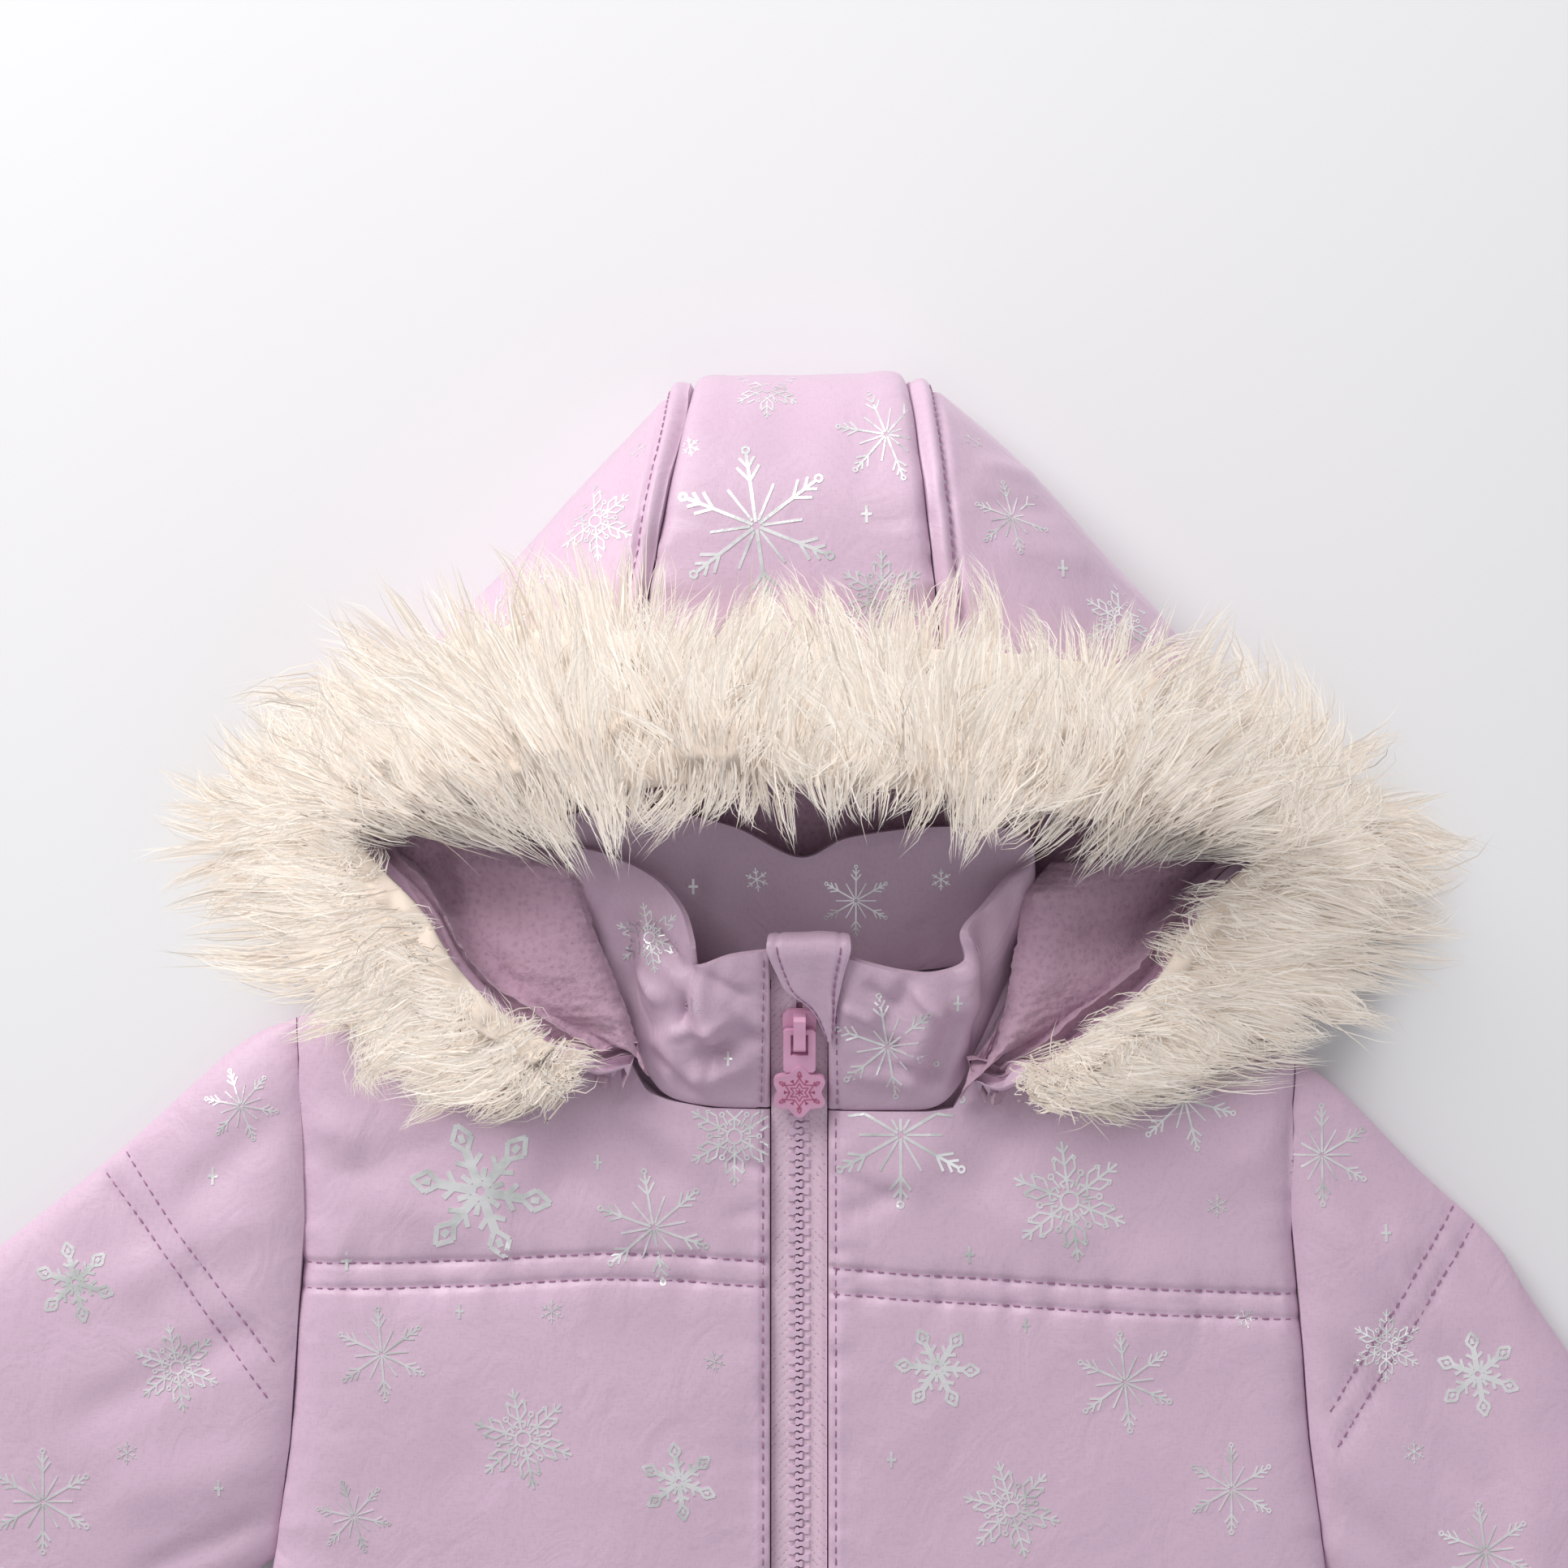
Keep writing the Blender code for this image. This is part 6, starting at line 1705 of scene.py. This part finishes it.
DRAWINGS = {
    "fine": drawing(
        ([(0, 0.05, 0, 0.96)], 0.034, "middle"),
        ([(0, 0.78, 0.10, 0.92), (0, 0.60, 0.15, 0.80)], 0.030, "sides"),
        (ring(0, 1.02, 0.05), 0.026, "middle"),
        ([(0, 0.08, 0, 0.60)], 0.026, "between")),
    "lace": drawing(
        ([(0, 0.16, 0, 1.0)], 0.034, "middle"),
        ([(0, 0.36, 0.17, 0.52), (0.17, 0.52, 0.17, 0.66), (0, 0.60, 0.17, 0.76),
          (0, 0.80, 0.10, 0.92), (0.05, 0.21, 0.12, 0.30), (0.12, 0.30, 0.0, 0.36)],
         0.030, "sides"),
        (ring(0.17, 0.70, 0.03), 0.022, "sides"), (ring(0, 0.0, 0.15, 12), 0.03, "still"),
        ([(0, 0.26, 0, 0.44)], 0.026, "between"), (ring(0, 0.50, 0.05), 0.024, "between")),
    "broad": drawing(
        ([(0, 0.10, 0, 0.60)], 0.10, "middle"),
        ([(0, 0.58, 0.15, 0.78), (0.15, 0.78, 0, 1.0), (0, 0.36, 0.19, 0.50)], 0.055, "sides"),
        ([(0, 0.72, 0, 0.84)], 0.07, "middle"), ([(0, 0.16, 0, 0.34)], 0.06, "between"),
        (ring(0, 0, 0.11), 0.05, "still")),
    "star": drawing(
        ([(0, 0, 0, 1.0)], 0.07, "middle"), ([(0, 0.5, 0.22, 0.72)], 0.06, "sides")),
    "glint": (np.array([(0, 0, 0, 1.0), (0, 0, 0, -1.0), (0, 0, 0.6, 0), (0, 0, -0.6, 0)], float),
              np.full(4, 0.24))}

# %% Places of the flakes
FLAKES = {  # drawing, x, y, radius, turn in degrees
    "front_left": (
        ("fine", -41.2, 85.8, 15.5, 10), ("lace", -18.3, 111.5, 14.0, 0),
        ("broad", -90.0, 96.0, 20.0, 20), ("star", -70.0, 62.0, 3.4, 0),
        ("glint", -57.0, 104.0, 2.2, 0), ("fine", -118.0, 50.0, 12.5, 5),
        ("lace", -78.0, 26.0, 14.5, 12), ("glint", -128.0, 76.0, 2.6, 0),
        ("star", -24.0, 48.0, 3.0, 12), ("broad", -34.0, 14.0, 11.0, 8),
        ("glint", -96.0, 62.0, 2.0, 0), ("fine", -126.0, 4.0, 10.0, 18)),
    "front_right": (
        ("fine", 28.6, 112.0, 19.5, 0), ("lace", 76.4, 93.2, 17.0, 8),
        ("fine", 108.8, 122.0, 14.0, 14), ("glint", 48.0, 78.0, 2.4, 0),
        ("star", 118.0, 92.0, 3.2, 0), ("broad", 39.0, 46.0, 12.0, 26),
        ("fine", 92.0, 42.0, 13.5, 6), ("glint", 64.0, 58.0, 2.0, 0),
        ("star", 126.0, 60.0, 3.0, 20), ("lace", 60.0, 6.0, 14.0, 16),
        ("fine", 122.0, 12.0, 12.0, 0), ("glint", 26.0, 20.0, 2.2, 0)),
    "sleeve_left": (
        ("lace", -176.0, 46.0, 12.5, 10), ("glint", -166.0, 100.0, 2.4, 0),
        ("broad", -205.0, 70.0, 11.5, 14), ("star", -190.0, 22.0, 3.2, 0),
        ("fine", -214.0, 8.0, 14.0, 0), ("glint", -164.0, 12.0, 2.2, 0),
        ("fine", -158.0, 120.0, 10.0, 20)),
    "sleeve_right": (
        ("fine", 148.0, 106.0, 13.5, 0), ("glint", 166.0, 84.0, 2.4, 0),
        ("broad", 192.0, 44.0, 12.0, 10), ("star", 174.0, 22.0, 3.2, 0),
        ("lace", 166.0, 52.0, 10.5, 0), ("fine", 194.0, -6.0, 13.0, 8)),
    "hood_left": (
        ("lace", -56.0, 283.0, 11.5, 6), ("glint", -70.0, 268.0, 2.2, 0),
        ("star", -44.5, 303.0, 2.6, 0), ("fine", -84.0, 252.0, 11.0, 0)),
    "hood_centre": (
        ("fine", -11.8, 280.7, 21.0, 8), ("fine", 23.6, 306.5, 13.0, 20),
        ("lace", -9.0, 321.0, 9.5, 0), ("glint", 18.0, 284.0, 2.4, 0),
        ("star", -30.0, 303.0, 2.8, 10), ("lace", 22.0, 262.0, 12.0, 0)),
    "hood_right": (
        ("star", 48.0, 306.0, 2.8, 0), ("fine", 58.0, 284.0, 10.0, 12),
        ("glint", 72.0, 270.0, 2.4, 0), ("lace", 88.0, 256.0, 11.0, 0)),
    "collar": (
        ("fine", 24.6, 137.5, 14.5, 10), ("glint", -20.0, 134.0, 2.0, 0),
        ("star", -30.0, 149.0, 2.8, 0), ("lace", -42.0, 168.0, 10.0, 10),
        ("glint", 44.0, 150.0, 2.2, 0), ("star", -12.0, 184.0, 3.4, 8),
        ("fine", 16.0, 178.0, 9.5, 0), ("glint", -30.0, 182.0, 2.2, 0),
        ("star", 40.0, 184.0, 3.0, 0))}
CLOTH = {"front_left": FRONT_LEFT, "front_right": FRONT_RIGHT, "sleeve_left": SLEEVE_LEFT,
         "sleeve_right": SLEEVE_RIGHT, "hood_left": HOOD_LEFT, "hood_centre": HOOD_CENTRE,
         "hood_right": HOOD_RIGHT, "collar": COLLAR_PIECE}


def scattered(seed, x_range, y_range, apart, inside):
    """More flakes for the cloth below: places in a jittered triangular grid, the drawings in
    turn."""
    rng = np.random.default_rng(seed)
    rows = np.arange(y_range[0], y_range[1], apart * 0.866)
    made = []
    for number, y in enumerate(rows):
        for x in np.arange(x_range[0] + (number % 2) * apart / 2, x_range[1], apart):
            px, py = np.array([x, y]) + rng.uniform(-4.0, 4.0, 2)
            kind = ("fine", "glint", "lace", "star", "broad", "glint")[int(rng.integers(6))]
            size = {"glint": 2.3, "star": 3.2}.get(kind, rng.uniform(11.0, 14.5))
            if inside(px, py):
                made.append((kind, px, py, size, rng.uniform(0, 60)))
    return tuple(made)


for side, name in ((-1, "front_left"), (1, "front_right")):
    FLAKES[name] += scattered(200 + side, (24, 160), (HEM_Y + 14, -28), 44.0,
                              lambda x, y, s=side: x < side_width(y, s) + 4)
    FLAKES[name] = tuple((kind, side * abs(x) if y < -20 else x, y, size, turn)
                         for kind, x, y, size, turn in FLAKES[name])
FLAKES["sleeve_left"] += scattered(211, (-385, -225), (-120, 40), 42.0, lambda x, y: True)
FLAKES["sleeve_right"] += scattered(212, (190, 330), (-155, -30), 42.0, lambda x, y: True)


# %% Printing
FOIL_LIFT, FOIL_THICK, FOIL_SINK = 0.05, 0.10, 0.10
FOIL_PIECE = 3.6          # longest bar that still follows the cloth
FOIL_WIDER = 1.3          # the print's lines are this much wider than drawn


def print_foil(name):
    """All flakes of one panel: bars cut short enough to follow the cloth, dropped onto it, each a
    hair higher than its neighbour so that no two lie in one plane. A bar that misses the panel
    or hangs over its edge is left out."""
    quads = []
    for kind, x, y, radius, turn in FLAKES[name]:
        segments, widths = DRAWINGS[kind]
        flat = bars(turned(segments, math.radians(turn)) * radius, widths * radius * FOIL_WIDER,
                    FOIL_PIECE)
        quads.append(flat + np.array([x, y]))
    flat = np.concatenate(quads)
    heights = dropped(flat.reshape(-1, 2), CLOTH[name])[:, 2].reshape(-1, 4)
    span = np.linalg.norm(flat[:, 0] - flat[:, 2], axis=1)
    lies = (heights.min(axis=1) > 0.0) & (np.ptp(heights, axis=1) < 1.2 * span + 0.2)
    flat, heights = flat[lies], heights[lies]
    lift = FOIL_LIFT + 0.012 * (np.arange(len(flat)) % 5)
    low = np.dstack([flat, heights - FOIL_SINK])
    high = np.dstack([flat, heights + (lift + FOIL_THICK)[:, None]])
    print(name, len(flat), "bars of foil")
    return write_boxes("foil_" + name, low, high, FOIL, "shell")


PRINTS = {name: print_foil(name) for name in FLAKES}


# %% [markdown]
# ## The cut of the fur strips
# Every piece of cloth was cut flat before it was sewn. The rows below list the length in metres,
# the area in square metres and the hair pieces of each fur strip, but nothing is done with them.

# %% Sheets
for side, length, area, hairs in (("left", 0.118, 0.0046, HAIRS[:1]),
                                  ("top", 0.430, 0.0171, HAIRS[1:4]),
                                  ("right", 0.118, 0.0046, HAIRS[4:])):
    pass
print("triangles:", sum(TRIANGLES.values()), "most:", max(TRIANGLES.items(), key=lambda m: m[1]))
